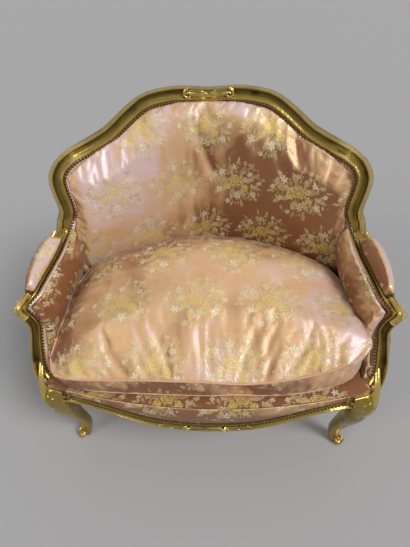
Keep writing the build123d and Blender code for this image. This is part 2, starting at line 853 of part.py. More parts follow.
def inside_rails_plan(inset=seam_gap):
    """Plan of the opening between the seat rails, drawn in by an inset."""
    start, end = side_rail_ends()
    front_x = start.X - side_rail_depth - inset
    rear_x = end.X - side_rail_depth - inset
    behind_rail = front_rail_depth + wood_gap + inset
    front_y = front_inner_y(front_x, behind_rail)
    middle_y = front_inner_y(0, behind_rail)
    rear = back_rail_arc(back_rail_depth + inset)
    post_x, post_y = rear[-1].X - inset, end.Y - inset
    corners = [rear[-1], Vector(post_x, post_y), Vector(rear_x, post_y), Vector(front_x, front_y)]
    corners = corners if post_y < rear[-1].Y else corners[:1] + corners[2:]
    edges = [line(corner, following) for corner, following in zip(corners, corners[1:])]
    mirror_corners = [Vector(-corner.X, corner.Y) for corner in corners]
    edges += [line(corner, following) for corner, following in zip(mirror_corners, mirror_corners[1:])]
    edges.append(arc(*rear))
    edges.append(arc(Vector(-front_x, front_y), Vector(0, middle_y), Vector(front_x, front_y)))
    return Wire(edges)


def deck_plan():
    """Plan of the upholstered deck: out to the front border, and over the side and rear rails."""
    start, end = side_rail_ends()
    front_x = start.X - side_rail_depth / 2
    front_y = front_inner_y(front_x, rebate_depth + border_gap)
    middle_y = front_inner_y(0, rebate_depth + border_gap)
    rear = back_rail_arc(back_rail_depth / 2)
    rear_side = Vector(end.X - side_rail_depth / 2, end.Y)
    corners = [rear[-1], rear_side, Vector(front_x, front_y)]
    edges = [line(corner, following) for corner, following in zip(corners, corners[1:])]
    mirror_corners = [Vector(-corner.X, corner.Y) for corner in corners]
    edges += [line(corner, following) for corner, following in zip(mirror_corners, mirror_corners[1:])]
    edges.append(arc(*rear))
    edges.append(arc(Vector(-front_x, front_y), Vector(0, middle_y), Vector(front_x, front_y)))
    return Wire(edges)


def both_sides(shape):
    return [shape, mirrored(shape)]


def seat_blocks():
    """Room that the leg and post squares take out of the seat's layers."""
    room = []
    for block in (leg_block(), post_block()):
        low, high = block.bounding_box().min, block.bounding_box().max
        tall = box_between(Vector(low.X, low.Y, 0), Vector(high.X, high.Y, rail_top_height))
        room += both_sides(tall)
    return room


def seat_webbing():
    """Straps across and from front to back, tacked under the battens inside the rails."""
    middle_y = webbing_middle_share * half_depth
    bottom, top = webbing_height - webbing_thickness, webbing_height + webbing_thickness
    plan = carved(plan_prism(inside_rails_plan(), bottom, top), *seat_blocks())
    straps = []
    for index in range(webbing_count_across):
        x = (index - (webbing_count_across - 1) / 2) * webbing_pitch_across
        half = webbing_width / 2
        straps.append(box_between(
            Vector(x - half, -half_depth, webbing_height),
            Vector(x + half, half_depth, webbing_height + webbing_thickness),
        ))
    for index in range(webbing_count_deep):
        y = middle_y + (index - (webbing_count_deep - 1) / 2) * webbing_pitch_deep
        half = webbing_width / 2
        straps.append(box_between(
            Vector(-half_width, y - half, webbing_height - webbing_thickness),
            Vector(half_width, y + half, webbing_height),
        ))
    return [strap.intersect(plan).solids()[0] for strap in straps]


def seat_battens(blocks):
    """Battens screwed inside the rails, over the ends of the webbing."""
    bottom = webbing_height + webbing_thickness
    top = bottom + batten_height
    ring = plan_prism(inside_rails_plan(), bottom, top)
    hole = plan_prism(inside_rails_plan(batten_width), bottom, top)
    return all_of(ring, hole, *seat_blocks(), *blocks)


def seat_springs():
    """Hourglass springs of one wire each, standing on the webbing under the hessian."""
    bottom = webbing_height + webbing_thickness + seam_gap + spring_wire / 2
    top = rail_top_height - seam_gap - spring_wire / 2
    middle_y = webbing_middle_share * half_depth
    springs = []
    for column in range(spring_count_across):
        for row in range(spring_count_deep):
            x = (column - (spring_count_across - 1) / 2) * spring_pitch_across
            y = middle_y + (row - (spring_count_deep - 1) / 2) * spring_pitch_deep
            sections = []
            for step in range(spring_steps + 1):
                share = step / spring_steps
                angle = 2 * math.pi * spring_turns * share
                radius = blend(spring_top_radius, spring_waist_radius, math.sin(math.pi * share))
                height = blend(bottom, top, (1 - math.cos(math.pi * share)) / 2)
                out = Vector(math.cos(angle), math.sin(angle), 0)
                up = Vector(0, 0, 1)
                centre = Vector(x, y, height) + out * radius
                half = spring_wire / 2
                around = [out * half, up * half, out * -half, up * -half]
                sections.append([centre + corner for corner in around])
            springs.append(skin(sections))
    return springs


def deck_layer(bottom, thickness, posts, supports):
    """A level layer of the seat's deck, let round the posts and the arm supports."""
    return carved(plan_prism(deck_plan(), bottom, bottom + thickness), *posts, *supports)


def front_border():
    """Stuffed front edge of the seat, from the line of nails up to the deck."""
    sections = []
    for x, z, moulding in curved_rows(front_rail_stations()[1:-1]):
        point = Vector(x, front_face_y(x), z)
        facing = front_facing(x)
        low = point + Vector(0, 0, moulding + border_gap)
        high = Vector(point.X, point.Y, deck_height)
        rise = high.Z - low.Z
        back = facing * (seam_gap - rebate_depth)
        up = Vector(0, 0, 1)
        crown = border_crown * rise / (deck_height - apron_height)
        edge = facing * border_edge
        middle = low + back + edge + facing * crown + up * (rise * border_crown_share)
        sections.append([low + back] + curved([low + back + edge, middle, high + back + edge]) + [high + back])
    return skin(sections)


def corner_blocks():
    """Glued blocks in the four inner corners of the seat frame."""
    start, end = side_rail_ends()
    block_x = start.X - 2 * leg_block_half - seam_gap
    far_x = block_x - corner_block_leg / 2
    behind_rail = front_rail_depth + seam_gap
    leg_y = start.Y + seam_gap
    side_y = leg_y + corner_block_leg / 2
    front = [
        Vector(block_x, leg_y), Vector(side_inner_x(leg_y) - seam_gap, leg_y),
        Vector(side_inner_x(side_y) - seam_gap, side_y),
        Vector(far_x, front_inner_y(far_x, behind_rail)), Vector(block_x, front_inner_y(block_x, behind_rail)),
    ]
    inner = back_rail_arc(back_rail_depth + seam_gap)
    post_y = end.Y - seam_gap
    rail_x = end.X - side_rail_depth - seam_gap
    side_y = post_y - corner_block_leg
    far = inner[-1] + (inner[1] - inner[-1]).normalized() * corner_block_leg * corner_reach_share
    rear = [
        inner[-1] - Vector(seam_gap, 0), Vector(inner[-1].X - seam_gap, post_y), Vector(rail_x, post_y),
        Vector(side_inner_x(side_y) - seam_gap, side_y), far,
    ]
    bottom = webbing_height + webbing_thickness
    blocks = []
    for corners in (front, rear):
        wire = Wire.make_polygon(corners, close=True)
        blocks += both_sides(plan_prism(wire, bottom, bottom + corner_block_height))
    return blocks


def frame_dowels():
    """Where each dowel on the right side lies: middle and direction, by joint."""
    stations = back_stations()
    joint = len(back_outline_shares) - 1 + crest_joint_index
    origin, across, facing = stations[joint]
    along = across.cross(facing)
    deep = (frame_depth + rebate_depth) / 2
    joints = {"crest": [], "arm": [], "elbow": [], "foot": [], "front": [], "side": [], "rear": [], "back": []}
    for share in crest_dowel_shares:
        joints["crest"].append((origin + across * (member_width * share) - facing * deep, along))
    outer, inner, looks = arm_section_at(arm_dowel_position)
    arm_across, arm_facing = paired_axes(outer, inner, looks)
    joints["arm"].append(((outer + inner) / 2 - arm_facing * (arm_depth / 2), arm_across.cross(arm_facing)))
    outer, inner = place(*support_station_shares[0][0]), place(*support_station_shares[0][1])
    elbow_across, elbow_facing = paired_axes(outer, inner, support_station_shares[0][2])
    deep = (arm_depth + rebate_depth) / 2
    joints["elbow"].append(((outer + inner) / 2 - elbow_facing * deep, elbow_across.cross(elbow_facing)))
    foot = place(*support_station_shares[-2][0])
    into_block = Vector(foot.X - leg_block_half / 2, foot.Y + leg_block_half / 2, rail_top_height)
    joints["foot"].append((into_block, Vector(0, 0, 1)))
    start, end = side_rail_ends()
    front_x = start.X - 2 * leg_block_half
    lift = rail_top_height - dowel_spacing / 2
    for step in range(2):
        z = lift - step * dowel_spacing
        front_y = front_inner_y(front_x, (front_rail_depth + rebate_depth) / 2)
        joints["front"].append((Vector(front_x, front_y, z), Vector(1, 0, 0)))
        inward = (side_rail_depth + rebate_depth) / 2
        joints["side"].append((Vector(start.X - inward, start.Y, z), Vector(0, 1, 0)))
        joints["rear"].append((Vector(end.X - inward, end.Y, z), Vector(0, 1, 0)))
        rail_end = back_rail_arc(back_rail_depth / 2)[-1]
        angle = back_rail_angle()
        lower = Vector(0, 0, z - dowel_spacing / 2)
        joints["back"].append((rail_end + lower, Vector(math.cos(angle), -math.sin(angle), 0)))
    return joints


def dowels_at(places, clearance=0.0):
    return [dowel(middle, way, clearance) for middle, way in places]


# Cushion

def cushion_outline(scale, z, rise_share=0.0):
    """The cushion's plan, scaled about its middle and rising to the back by a share of the depth."""
    middle_y = (cushion_shares[0][1] + cushion_shares[-1][1]) / 2 * half_depth
    front_y = cushion_shares[0][1] * half_depth
    right = []
    for x_share, y_share in cushion_shares:
        y = middle_y + (y_share * half_depth - middle_y) * scale
        right.append(Vector(x_share * half_width * scale, y, z + (y - front_y) * rise_share))
    left = [Vector(-point.X, point.Y, point.Z) for point in right[-2:0:-1]]
    return right + left





def cushion_levels():
    bottom = deck_height + cushion_clearance
    lower_seam = bottom + cushion_under
    return bottom, lower_seam, lower_seam + cushion_boxing


def cushion_form():
    """Crowned cushion: a nearly flat underside, a boxed edge drawn in, and a full crown."""
    bottom, lower_seam, upper_seam = cushion_levels()
    rows = [(scale, blend(bottom, lower_seam, rise), 0.0) for scale, rise in under_shares]
    drawn = 1 - cushion_draw_in / half_width
    rows.append((drawn, (lower_seam + upper_seam) / 2, cushion_rise_share / 2))
    for scale in crown_shares:
        z = upper_seam + cushion_crown * (1 - scale ** crown_power)
        rows.append((scale, z, cushion_rise_share))
    return skin([cushion_outline(*row) for row in rows])


def cushion_filling():
    """Down-filled bag inside the cushion's cover."""
    bottom, lower_seam, upper_seam = cushion_levels()
    inner = 1 - (cushion_draw_in + cushion_wall) / half_width
    rise = cushion_rise_share
    rows = [
        (inner * under_shares[0][0], bottom + cushion_wall, 0.0), (inner, lower_seam + cushion_wall, 0.0),
        (inner, upper_seam, rise),
    ]
    for scale in crown_shares[2::2]:
        z = upper_seam + cushion_crown * (1 - scale ** crown_power) - 2 * cushion_wall
        rows.append((scale * inner, z, rise))
    return skin([cushion_outline(*row) for row in rows])


def cushion_piping():
    """Welts along the cushion's two seams."""
    bottom, lower_seam, upper_seam = cushion_levels()
    welts = []
    for seam, rise in ((lower_seam, 0.0), (upper_seam, cushion_rise_share)):
        low, high = seam - piping_size / 2, seam + piping_size / 2
        outer_scale = 1 + piping_size / half_width
        outer = skin([cushion_outline(outer_scale, low, rise), cushion_outline(outer_scale, high, rise)])
        inner = skin([cushion_outline(1, low, rise), cushion_outline(1, high, rise)])
        welts.append(outer.cut(inner).solids()[0])
    return welts


def write(name, shapes):
    solids = shapes if isinstance(shapes, list) else [shapes]
    export_step(solids[0] if len(solids) == 1 else Compound(solids), os.path.join("parts", name + ".step"))


def write_pair(name, shape):
    write(name + "_right", shape)
    write(name + "_left", mirrored(shape))


def main():
    joints = frame_dowels()
    holes = {name: dowels_at(places, dowel_clearance) for name, places in joints.items()}
    blocks = corner_blocks()

    post_wood = rear_post_blank()
    arm = carved(arm_blank(post_wood), *holes["arm"], *holes["elbow"])
    post = carved(post_wood, *holes["crest"], *holes["arm"], *holes["rear"], *holes["back"])
    support = carved(support_blank(), *holes["elbow"], *holes["foot"])
    leg = carved(front_leg_blank(), *holes["foot"], *holes["front"], *holes["side"])
    side_rail = carved(side_rail_blank(), *holes["side"], *holes["rear"])
    crest_holes = holes["crest"] + [mirrored(hole) for hole in holes["crest"]]
    rail_holes = holes["front"] + [mirrored(hole) for hole in holes["front"]]
    back_holes = holes["back"] + [mirrored(hole) for hole in holes["back"]]
    posts = both_sides(post_wood)
    supports = both_sides(support)

    crest = crest_blank()
    write("crest_rail", carved(crest, *crest_holes))
    write_pair("rear_post", post)
    write_pair("arm_rail", arm)
    write_pair("arm_support", support)
    write_pair("front_leg", leg)
    write("front_seat_rail", carved(front_rail_blank(), *rail_holes))
    write_pair("side_seat_rail", side_rail)
    write("back_seat_rail", carved(back_rail_blank(), *back_holes))
    write("back_tacking_rail", back_tacking_rail(posts))
    arm_rail = arm_tacking_rail([post_wood, support])
    write_pair("arm_tacking_rail", arm_rail)
    write("corner_blocks", blocks)
    dowels = [solid for places in joints.values() for solid in dowels_at(places)]
    write("frame_dowels", dowels + [mirrored(dowel) for dowel in dowels])

    write("seat_webbing", seat_webbing())
    write("seat_battens", seat_battens(blocks))
    write("seat_springs", seat_springs())
    hessian_top = rail_top_height + hessian_thickness
    pad_thickness = deck_thickness - hessian_thickness - deck_cover_thickness
    write("seat_hessian", deck_layer(rail_top_height, hessian_thickness, posts, supports))
    write("seat_deck_pad", deck_layer(hessian_top, pad_thickness, posts, supports))
    write("seat_deck_cover", deck_layer(hessian_top + pad_thickness, deck_cover_thickness, posts, supports))
    write("front_border", front_border())
    dust_bottom = rail_bottom_height + dust_cover_lift
    dust_plan = plan_prism(inside_rails_plan(), dust_bottom, dust_bottom + dust_cover_thickness)
    write("dust_cover", carved(dust_plan, *seat_blocks(), *both_sides(leg)))

    back_pad = inside_back_pad([crest, *posts])
    write("inside_back_pad", back_pad)
    write("back_webbing", back_webbing())
    write("outside_back_cover", outside_back_cover([crest, *posts]))
    write_pair("inside_arm_pad", inside_arm_pad(back_pad, [post_wood, arm, support, arm_rail]))
    write_pair("outside_arm_cover", outside_arm_cover([post_wood, arm, support]))
    write_pair("manchette", manchette())

    filling = cushion_filling()
    write("cushion_cover", cushion_form().cut(filling).solids()[0])
    write("cushion_filling", filling)
    write("cushion_piping", cushion_piping())


main()
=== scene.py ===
# %% [markdown]
# # A marquise chair in old gilding and floral brocade
#
# The chair is a wide armchair whose back bows forward into closed, padded arms. Its frame is
# beech, moulded and carved, then gilded. The upholstery is stretched inside the moulding and
# edged with close domed nails, and one thick feather cushion lies on the sprung seat.
# The solids were made in CAD and are loaded here as a fixed frame. This script gives them
# finishes, replaces the soft ones with real-looking padding, and adds carving and nails.

import json
import math

import bpy
import numpy as np
from mathutils import Matrix, Vector


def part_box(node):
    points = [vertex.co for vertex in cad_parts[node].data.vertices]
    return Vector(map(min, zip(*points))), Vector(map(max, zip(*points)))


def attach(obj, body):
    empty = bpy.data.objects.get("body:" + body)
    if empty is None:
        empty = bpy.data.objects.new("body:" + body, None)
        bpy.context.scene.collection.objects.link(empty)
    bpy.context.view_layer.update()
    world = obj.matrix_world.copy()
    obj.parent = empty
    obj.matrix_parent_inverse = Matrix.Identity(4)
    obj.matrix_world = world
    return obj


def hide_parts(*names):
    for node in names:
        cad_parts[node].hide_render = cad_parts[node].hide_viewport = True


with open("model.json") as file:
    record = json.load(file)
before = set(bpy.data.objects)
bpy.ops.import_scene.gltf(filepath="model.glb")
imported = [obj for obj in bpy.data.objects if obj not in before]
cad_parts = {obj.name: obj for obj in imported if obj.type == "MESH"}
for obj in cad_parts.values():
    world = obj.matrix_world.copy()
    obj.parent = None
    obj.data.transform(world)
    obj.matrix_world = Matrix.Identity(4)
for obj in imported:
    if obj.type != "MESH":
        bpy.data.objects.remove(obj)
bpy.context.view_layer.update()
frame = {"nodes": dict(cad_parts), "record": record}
nodes = frame["nodes"]
print("solids loaded:", len(nodes))

# %% [markdown]
# A few small helpers come first. Operators work on what is selected, so one helper selects
# only what is asked for. A CAD mesh is loose triangles, and it is never changed itself, so
# another helper makes a copy of it and welds the copy's corners together.

# %% Select, copy and weld
weld_gap = 0.00002


def pick(*pieces):
    """Select only these pieces; the last one becomes the active one."""
    bpy.ops.object.select_all(action="DESELECT")
    for piece in pieces:
        piece.select_set(True)
        bpy.context.view_layer.objects.active = piece


def in_edit_mode(piece, work):
    """Run some work on a piece in edit mode, with all of it selected."""
    pick(piece)
    bpy.ops.object.mode_set(mode="EDIT")
    bpy.ops.mesh.select_all(action="SELECT")
    work()
    bpy.ops.object.mode_set(mode="OBJECT")


def welded_copy(node, name):
    """A copy of a CAD node whose triangles share their corners."""
    piece = nodes[node].copy()
    piece.data = nodes[node].data.copy()
    piece.name = name
    piece.parent = None
    for key in list(piece.keys()):
        del piece[key]
    bpy.context.scene.collection.objects.link(piece)
    pick(piece)
    bpy.ops.mesh.customdata_custom_splitnormals_clear()
    in_edit_mode(piece, lambda: bpy.ops.mesh.remove_doubles(threshold=weld_gap))
    return piece


def body_of(node):
    return "seat_cushion" if node.startswith("cushion") else "chair"


def stand_for(piece, node, material):
    """Let a finished piece take a CAD node's place in the picture."""
    piece.data.materials.clear()
    piece.data.materials.append(material)
    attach(piece, body_of(node))
    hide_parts(node)


# %% Read and write the points of a mesh
def points_of(piece):
    flat = np.zeros(len(piece.data.vertices) * 3)
    piece.data.vertices.foreach_get("co", flat)
    return flat.reshape(-1, 3)


def move_points(piece, points):
    piece.data.vertices.foreach_set("co", points.astype(np.float32).ravel())
    piece.data.update()


def bell(values, middle, width):
    """A soft hill: 1 at the middle, falling to 0 over about the width."""
    return np.exp(-((values - middle) / width) ** 2)


def normals_of(piece):
    flat = np.zeros(len(piece.data.vertices) * 3)
    piece.data.vertices.foreach_get("normal", flat)
    return flat.reshape(-1, 3)


def mirrored(place, side):
    """A place on the chair's right side, or with side -1 its mirror image on the left."""
    return np.array(place) * (side, 1, 1)


def distance_along(path):
    """How far along a path each of its points lies."""
    return np.concatenate([[0], np.cumsum(np.linalg.norm(np.diff(path, axis=0), axis=1))])


def rows_at(wanted, known, rows):
    """Rows of numbers between the known ones, column by column."""
    return np.column_stack([np.interp(wanted, known, column) for column in rows.T])


# %% Remesh, smooth and join
def even_net(piece, voxel):
    """Give a piece a net of even squares of this size."""
    pick(piece)
    piece.data.remesh_voxel_size = voxel
    bpy.ops.object.voxel_remesh()


def relax(piece, rounds, factor=0.5):
    """Smooth a net with the smooth operator."""
    in_edit_mode(piece, lambda: bpy.ops.mesh.vertices_smooth(factor=factor, repeat=rounds))


def joined(pieces, name):
    """Make one piece of several."""
    pick(*pieces)
    bpy.ops.object.join()
    piece = bpy.context.object
    piece.name = name
    bpy.ops.object.transform_apply(location=True, rotation=True, scale=True)
    return piece


# %% [markdown]
# ## Finishes
#
# Each finish is a node material. A few short functions add the nodes, so that a pattern can
# be written like a formula. The old gilding is darkened by dirt in cloudy patches and by
# painted shade in its hollows, and it is paler on the beads, partly rubbed bright and partly
# a painted highlight.

# %% Node helpers
def set_input(tree, socket, value):
    if isinstance(value, bpy.types.NodeSocket):
        tree.links.new(value, socket)
    else:
        socket.default_value = value


def calc(tree, operation, *values):
    """One maths node, fed with numbers or with other nodes' outputs."""
    node = tree.nodes.new("ShaderNodeMath")
    node.operation = operation
    for socket, value in zip(node.inputs, values):
        set_input(tree, socket, value)
    return node.outputs[0]


def times(tree, first, second):
    return calc(tree, "MULTIPLY", first, second)


def limited(tree, value):
    """A value kept between 0 and 1."""
    return calc(tree, "MINIMUM", calc(tree, "MAXIMUM", value, 0.0), 1.0)


def vector_calc(tree, operation, first, second):
    node = tree.nodes.new("ShaderNodeVectorMath")
    node.operation = operation
    set_input(tree, node.inputs[0], first)
    set_input(tree, node.inputs[1], second)
    return node.outputs["Value"] if operation == "DOT_PRODUCT" else node.outputs["Vector"]


def mix(tree, share, first, second):
    """Mix two colours by a share."""
    node = tree.nodes.new("ShaderNodeMix")
    node.data_type = "RGBA"
    set_input(tree, node.inputs[0], share)
    set_input(tree, node.inputs[6], first)
    set_input(tree, node.inputs[7], second)
    return node.outputs[2]


def noise(tree, position, scale, detail=3.0):
    node = tree.nodes.new("ShaderNodeTexNoise")
    node.inputs["Scale"].default_value = scale
    node.inputs["Detail"].default_value = detail
    tree.links.new(position, node.inputs["Vector"])
    return node.outputs["Fac"]


def ramp(tree, value, low, high):
    """A value spread from 0 at low to 1 at high."""
    node = tree.nodes.new("ShaderNodeMapRange")
    set_input(tree, node.inputs["Value"], value)
    node.inputs["From Min"].default_value = low
    node.inputs["From Max"].default_value = high
    node.clamp = False
    return limited(tree, node.outputs["Result"])


def bump(tree, shader, height, distance):
    node = tree.nodes.new("ShaderNodeBump")
    node.inputs["Distance"].default_value = distance
    tree.links.new(height, node.inputs["Height"])
    tree.links.new(node.outputs["Normal"], shader.inputs["Normal"])


def new_finish(name, color, roughness, metallic=0.0):
    material = bpy.data.materials.new(name)
    material.use_nodes = True
    shader = material.node_tree.nodes["Principled BSDF"]
    shader.inputs["Base Color"].default_value = (*color, 1)
    shader.inputs["Roughness"].default_value = roughness
    shader.inputs["Metallic"].default_value = metallic
    return material, material.node_tree, shader


# %% Old gilding
# The dark colour stands for dirt and painted shade, the bright one for rubbed gilding and a painted
# highlight.
gold_dark = (0.050, 0.034, 0.011, 1)
gold_body = (0.38, 0.27, 0.058, 1)
gold_bright = (0.86, 0.68, 0.23, 1)


def old_gilding():
    material, tree, shader = new_finish("old_gilding", gold_body[:3], 0.4, 0.85)
    position = tree.nodes.new("ShaderNodeTexCoord").outputs["Object"]
    curvature = tree.nodes.new("ShaderNodeNewGeometry").outputs["Pointiness"]
    # Painted highlight, partly rubbed gilding: the convex beads turn paler gold.
    worn = ramp(tree, curvature, 0.52, 0.60)
    # Painted shade: the hollows turn dark.
    hollow = times(tree, ramp(tree, curvature, 0.490, 0.440), 0.8)
    patches = noise(tree, position, 18.0, 6.0)
    # Dirt in cloudy patches and the painted shade of the hollows darken the gold together, and make it
    # rougher.
    dirt_and_shade = limited(tree, calc(tree, "MULTIPLY_ADD", ramp(tree, patches, 0.52, 0.72), 0.45, hollow))
    color = mix(tree, worn, gold_body, gold_bright)
    color = mix(tree, dirt_and_shade, color, gold_dark)
    tree.links.new(color, shader.inputs["Base Color"])
    rough = calc(tree, "MULTIPLY_ADD", dirt_and_shade, 0.34, 0.22)
    tree.links.new(rough, shader.inputs["Roughness"])
    bump(tree, shader, noise(tree, position, 140.0), 0.0006)
    return material


gilding = old_gilding()
print("gilding nodes:", len(gilding.node_tree.nodes))

# %% [markdown]
# The brocade has a satin ground and bouquets in gold, cream and
# champagne thread. A bouquet is drawn once as a node group: each leaf and flower is a small
# formula of the distance to its own centre. Every second row of bouquets is shifted by half a
# repeat, as such patterns are woven. The pattern reads a cloth position
# that each padded piece stores on its own mesh, so that it bends with the folds. Its third
# number is painted light: added to how far the surface faces the window, it paints the ground
# copper in shade, peach where lit and lilac as a painted sheen.

# %% A bouquet as a node group
thread = 0.0007
roses = [(0.000, 0.004, 0.023), (0.031, -0.018, 0.014), (-0.027, -0.014, 0.013)]
flowers = [
    (0.058, -0.034, 0.012, 5), (-0.046, 0.03, 0.013, 6), (0.046, 0.03, 0.011, 5),
    (-0.056, -0.026, 0.011, 5), (0.006, -0.044, 0.014, 6), (-0.006, 0.05, 0.011, 5),
    (0.08, 0.004, 0.009, 5), (-0.082, 0.004, 0.009, 5), (0.03, 0.064, 0.008, 5),
    (-0.026, -0.066, 0.009, 5),
]
leaves = [
    (0.038, 0.008, 12, 0.05, 0.009), (0.024, 0.036, 58, 0.044, 0.0085), (-0.016, 0.04, 112, 0.046, 0.0085),
    (-0.042, 0.006, 172, 0.05, 0.009), (-0.036, -0.022, 212, 0.044, 0.008),
    (-0.012, -0.04, 258, 0.044, 0.008), (0.024, -0.038, 304, 0.044, 0.008),
    (0.066, -0.012, 342, 0.042, 0.007), (-0.066, 0.018, 156, 0.038, 0.007),
    (0.066, 0.026, 28, 0.036, 0.006), (-0.062, -0.034, 218, 0.036, 0.006),
    (0.022, -0.07, 286, 0.032, 0.0055), (-0.06, 0.046, 138, 0.032, 0.0055),
    (0.064, -0.044, 320, 0.036, 0.006), (0.01, 0.072, 82, 0.026, 0.004),
    (-0.012, -0.072, 250, 0.028, 0.0045), (0.052, 0.056, 50, 0.026, 0.0045),
    (0.09, 0.016, 10, 0.022, 0.0035), (-0.092, -0.01, 190, 0.022, 0.0035),
    (-0.022, 0.072, 104, 0.024, 0.0035),
]


def soft_edge(tree, depth):
    return limited(tree, times(tree, depth, 1 / thread))


def leaf_shape(tree, position, leaf):
    x, y, degrees, length, width = leaf
    turn = math.radians(degrees)
    offset = vector_calc(tree, "SUBTRACT", position, (x, y, 0))
    growth = (2 * math.cos(turn) / length, 2 * math.sin(turn) / length, 0)
    along = vector_calc(tree, "DOT_PRODUCT", offset, growth)
    beside = vector_calc(tree, "DOT_PRODUCT", offset, (-math.sin(turn), math.cos(turn), 0))
    reach = calc(tree, "SUBTRACT", 1.0, times(tree, along, along))
    away = calc(tree, "ABSOLUTE", beside)
    depth = calc(tree, "SUBTRACT", times(tree, reach, width), away)
    slant = calc(tree, "MULTIPLY_ADD", away, -1100.0, times(tree, along, length * 900))
    veins = ramp(tree, calc(tree, "SINE", slant), -0.9, 0.1)
    return times(tree, soft_edge(tree, depth), calc(tree, "MULTIPLY_ADD", veins, 0.7, 0.3))


def polar(tree, position, x, y):
    offset = vector_calc(tree, "SUBTRACT", position, (x, y, 0))
    parts = tree.nodes.new("ShaderNodeSeparateXYZ")
    tree.links.new(offset, parts.inputs[0])
    radius = calc(tree, "SQRT", vector_calc(tree, "DOT_PRODUCT", offset, offset))
    return radius, calc(tree, "ARCTAN2", parts.outputs[1], parts.outputs[0])


def flower_shape(tree, position, flower):
    x, y, size, petals = flower
    radius, angle = polar(tree, position, x, y)
    wave = calc(tree, "ABSOLUTE", calc(tree, "SINE", times(tree, angle, petals / 2)))
    edge = calc(tree, "MULTIPLY_ADD", wave, size * 0.72, size * 0.28)
    gap = calc(tree, "SUBTRACT", times(tree, wave, radius), thread)
    petals_shape = soft_edge(tree, calc(tree, "MINIMUM", calc(tree, "SUBTRACT", edge, radius), gap))
    eye = soft_edge(tree, calc(tree, "SUBTRACT", size * 0.22, radius))
    return petals_shape, eye


def rose_shape(tree, position, rose):
    x, y, size = rose
    radius, angle = polar(tree, position, x, y)
    lobes = calc(tree, "SINE", times(tree, angle, 5.0))
    edge = calc(tree, "MULTIPLY_ADD", lobes, size * 0.10, size * 0.9)
    turns = calc(tree, "SINE", times(tree, angle, 3.0))
    swirl = calc(tree, "MULTIPLY_ADD", radius, 900.0, times(tree, turns, 1.6))
    rings = ramp(tree, calc(tree, "SINE", swirl), -0.9, -0.2)
    return times(tree, soft_edge(tree, calc(tree, "SUBTRACT", edge, radius)), rings)


def spray_shape(tree, position):
    """Small buds and blades that fill the bouquet's outline."""
    blades = tree.nodes.new("ShaderNodeTexVoronoi")
    blades.inputs["Scale"].default_value = 105.0
    stretched = vector_calc(tree, "MULTIPLY", position, (1.0, 0.62, 1.0))
    tree.links.new(stretched, blades.inputs["Vector"])
    outline = vector_calc(tree, "MULTIPLY", position, (1 / 0.096, 1 / 0.080, 0))
    reach = calc(tree, "SQRT", vector_calc(tree, "DOT_PRODUCT", outline, outline))
    ragged = calc(tree, "MULTIPLY_ADD", noise(tree, position, 40.0, 1.0), 0.8, reach)
    inside = ramp(tree, ragged, 1.38, 1.22)
    buds = ramp(tree, blades.outputs["Distance"], 0.48, 0.30)
    return times(tree, times(tree, inside, buds), 0.85)


def bouquet_group():
    tree = bpy.data.node_groups.new("bouquet", "ShaderNodeTree")
    tree.interface.new_socket("Position", in_out="INPUT", socket_type="NodeSocketVector")
    for name in ("Leaf", "Cream", "Gold"):
        tree.interface.new_socket(name, in_out="OUTPUT", socket_type="NodeSocketFloat")
    position = tree.nodes.new("NodeGroupInput").outputs[0]
    cream, gold = 0.0, 0.0
    for shape in roses:
        gold = calc(tree, "MAXIMUM", gold, rose_shape(tree, position, shape))
    leaf = spray_shape(tree, position)
    for shape in leaves:
        leaf = calc(tree, "MAXIMUM", leaf, leaf_shape(tree, position, shape))
    for shape in flowers:
        petals, eye = flower_shape(tree, position, shape)
        cream = calc(tree, "MAXIMUM", cream, petals)
        gold = calc(tree, "MAXIMUM", gold, eye)
    ends = tree.nodes.new("NodeGroupOutput")
    for socket, value in zip(ends.inputs, (leaf, cream, gold)):
        tree.links.new(value, socket)
    return tree


bouquet = bouquet_group()
print("bouquet nodes:", len(bouquet.nodes))

# %% Brocade
repeat_wide = 0.205
repeat_high = 0.164
# The three satin colours are one ground painted in light: copper in shade, peach where lit, lilac as a
# painted sheen.
satin_copper = (0.25, 0.105, 0.040, 1)
satin_peach = (0.68, 0.42, 0.21, 1)
painted_sheen_lilac = (0.72, 0.54, 0.52, 1)
leaf_olive = (0.46, 0.37, 0.13, 1)
leaf_thread = (0.64, 0.55, 0.31, 1)
cream_thread = (0.74, 0.71, 0.52, 1)
gold_thread = (0.66, 0.51, 0.13, 1)
window_side = (0.85, -0.15, 0.50)
rib_count = 5200.0
satin_gloss = (
    ("Metallic", 0.30), ("Sheen Weight", 0.12), ("Sheen Roughness", 0.35),
    ("Sheen Tint", (0.95, 0.80, 0.85, 1)), ("Specular IOR Level", 0.9),
    ("Specular Tint", (1.0, 0.86, 0.84, 1)),
)


def within_repeat(tree, position):
    """The place in the nearest bouquet; every second row is shifted by half a repeat."""
    parts = tree.nodes.new("ShaderNodeSeparateXYZ")
    tree.links.new(position, parts.inputs[0])
    rows = calc(tree, "DIVIDE", parts.outputs[1], repeat_high)
    row = calc(tree, "FLOOR", rows)
    columns = calc(tree, "MULTIPLY_ADD", row, 0.5, calc(tree, "DIVIDE", parts.outputs[0], repeat_wide))
    place = tree.nodes.new("ShaderNodeCombineXYZ")
    for socket, value, size in zip(place.inputs, (columns, rows), (repeat_wide, repeat_high)):
        middle = calc(tree, "SUBTRACT", calc(tree, "FRACT", value), 0.5)
        tree.links.new(times(tree, middle, size), socket)
    return place.outputs[0]


def patchy(tree, position, scale, detail, first, second):
    """Two colours in cloudy patches."""
    share = ramp(tree, noise(tree, position, scale, detail), 0.4, 0.6)
    return mix(tree, share, first, second)


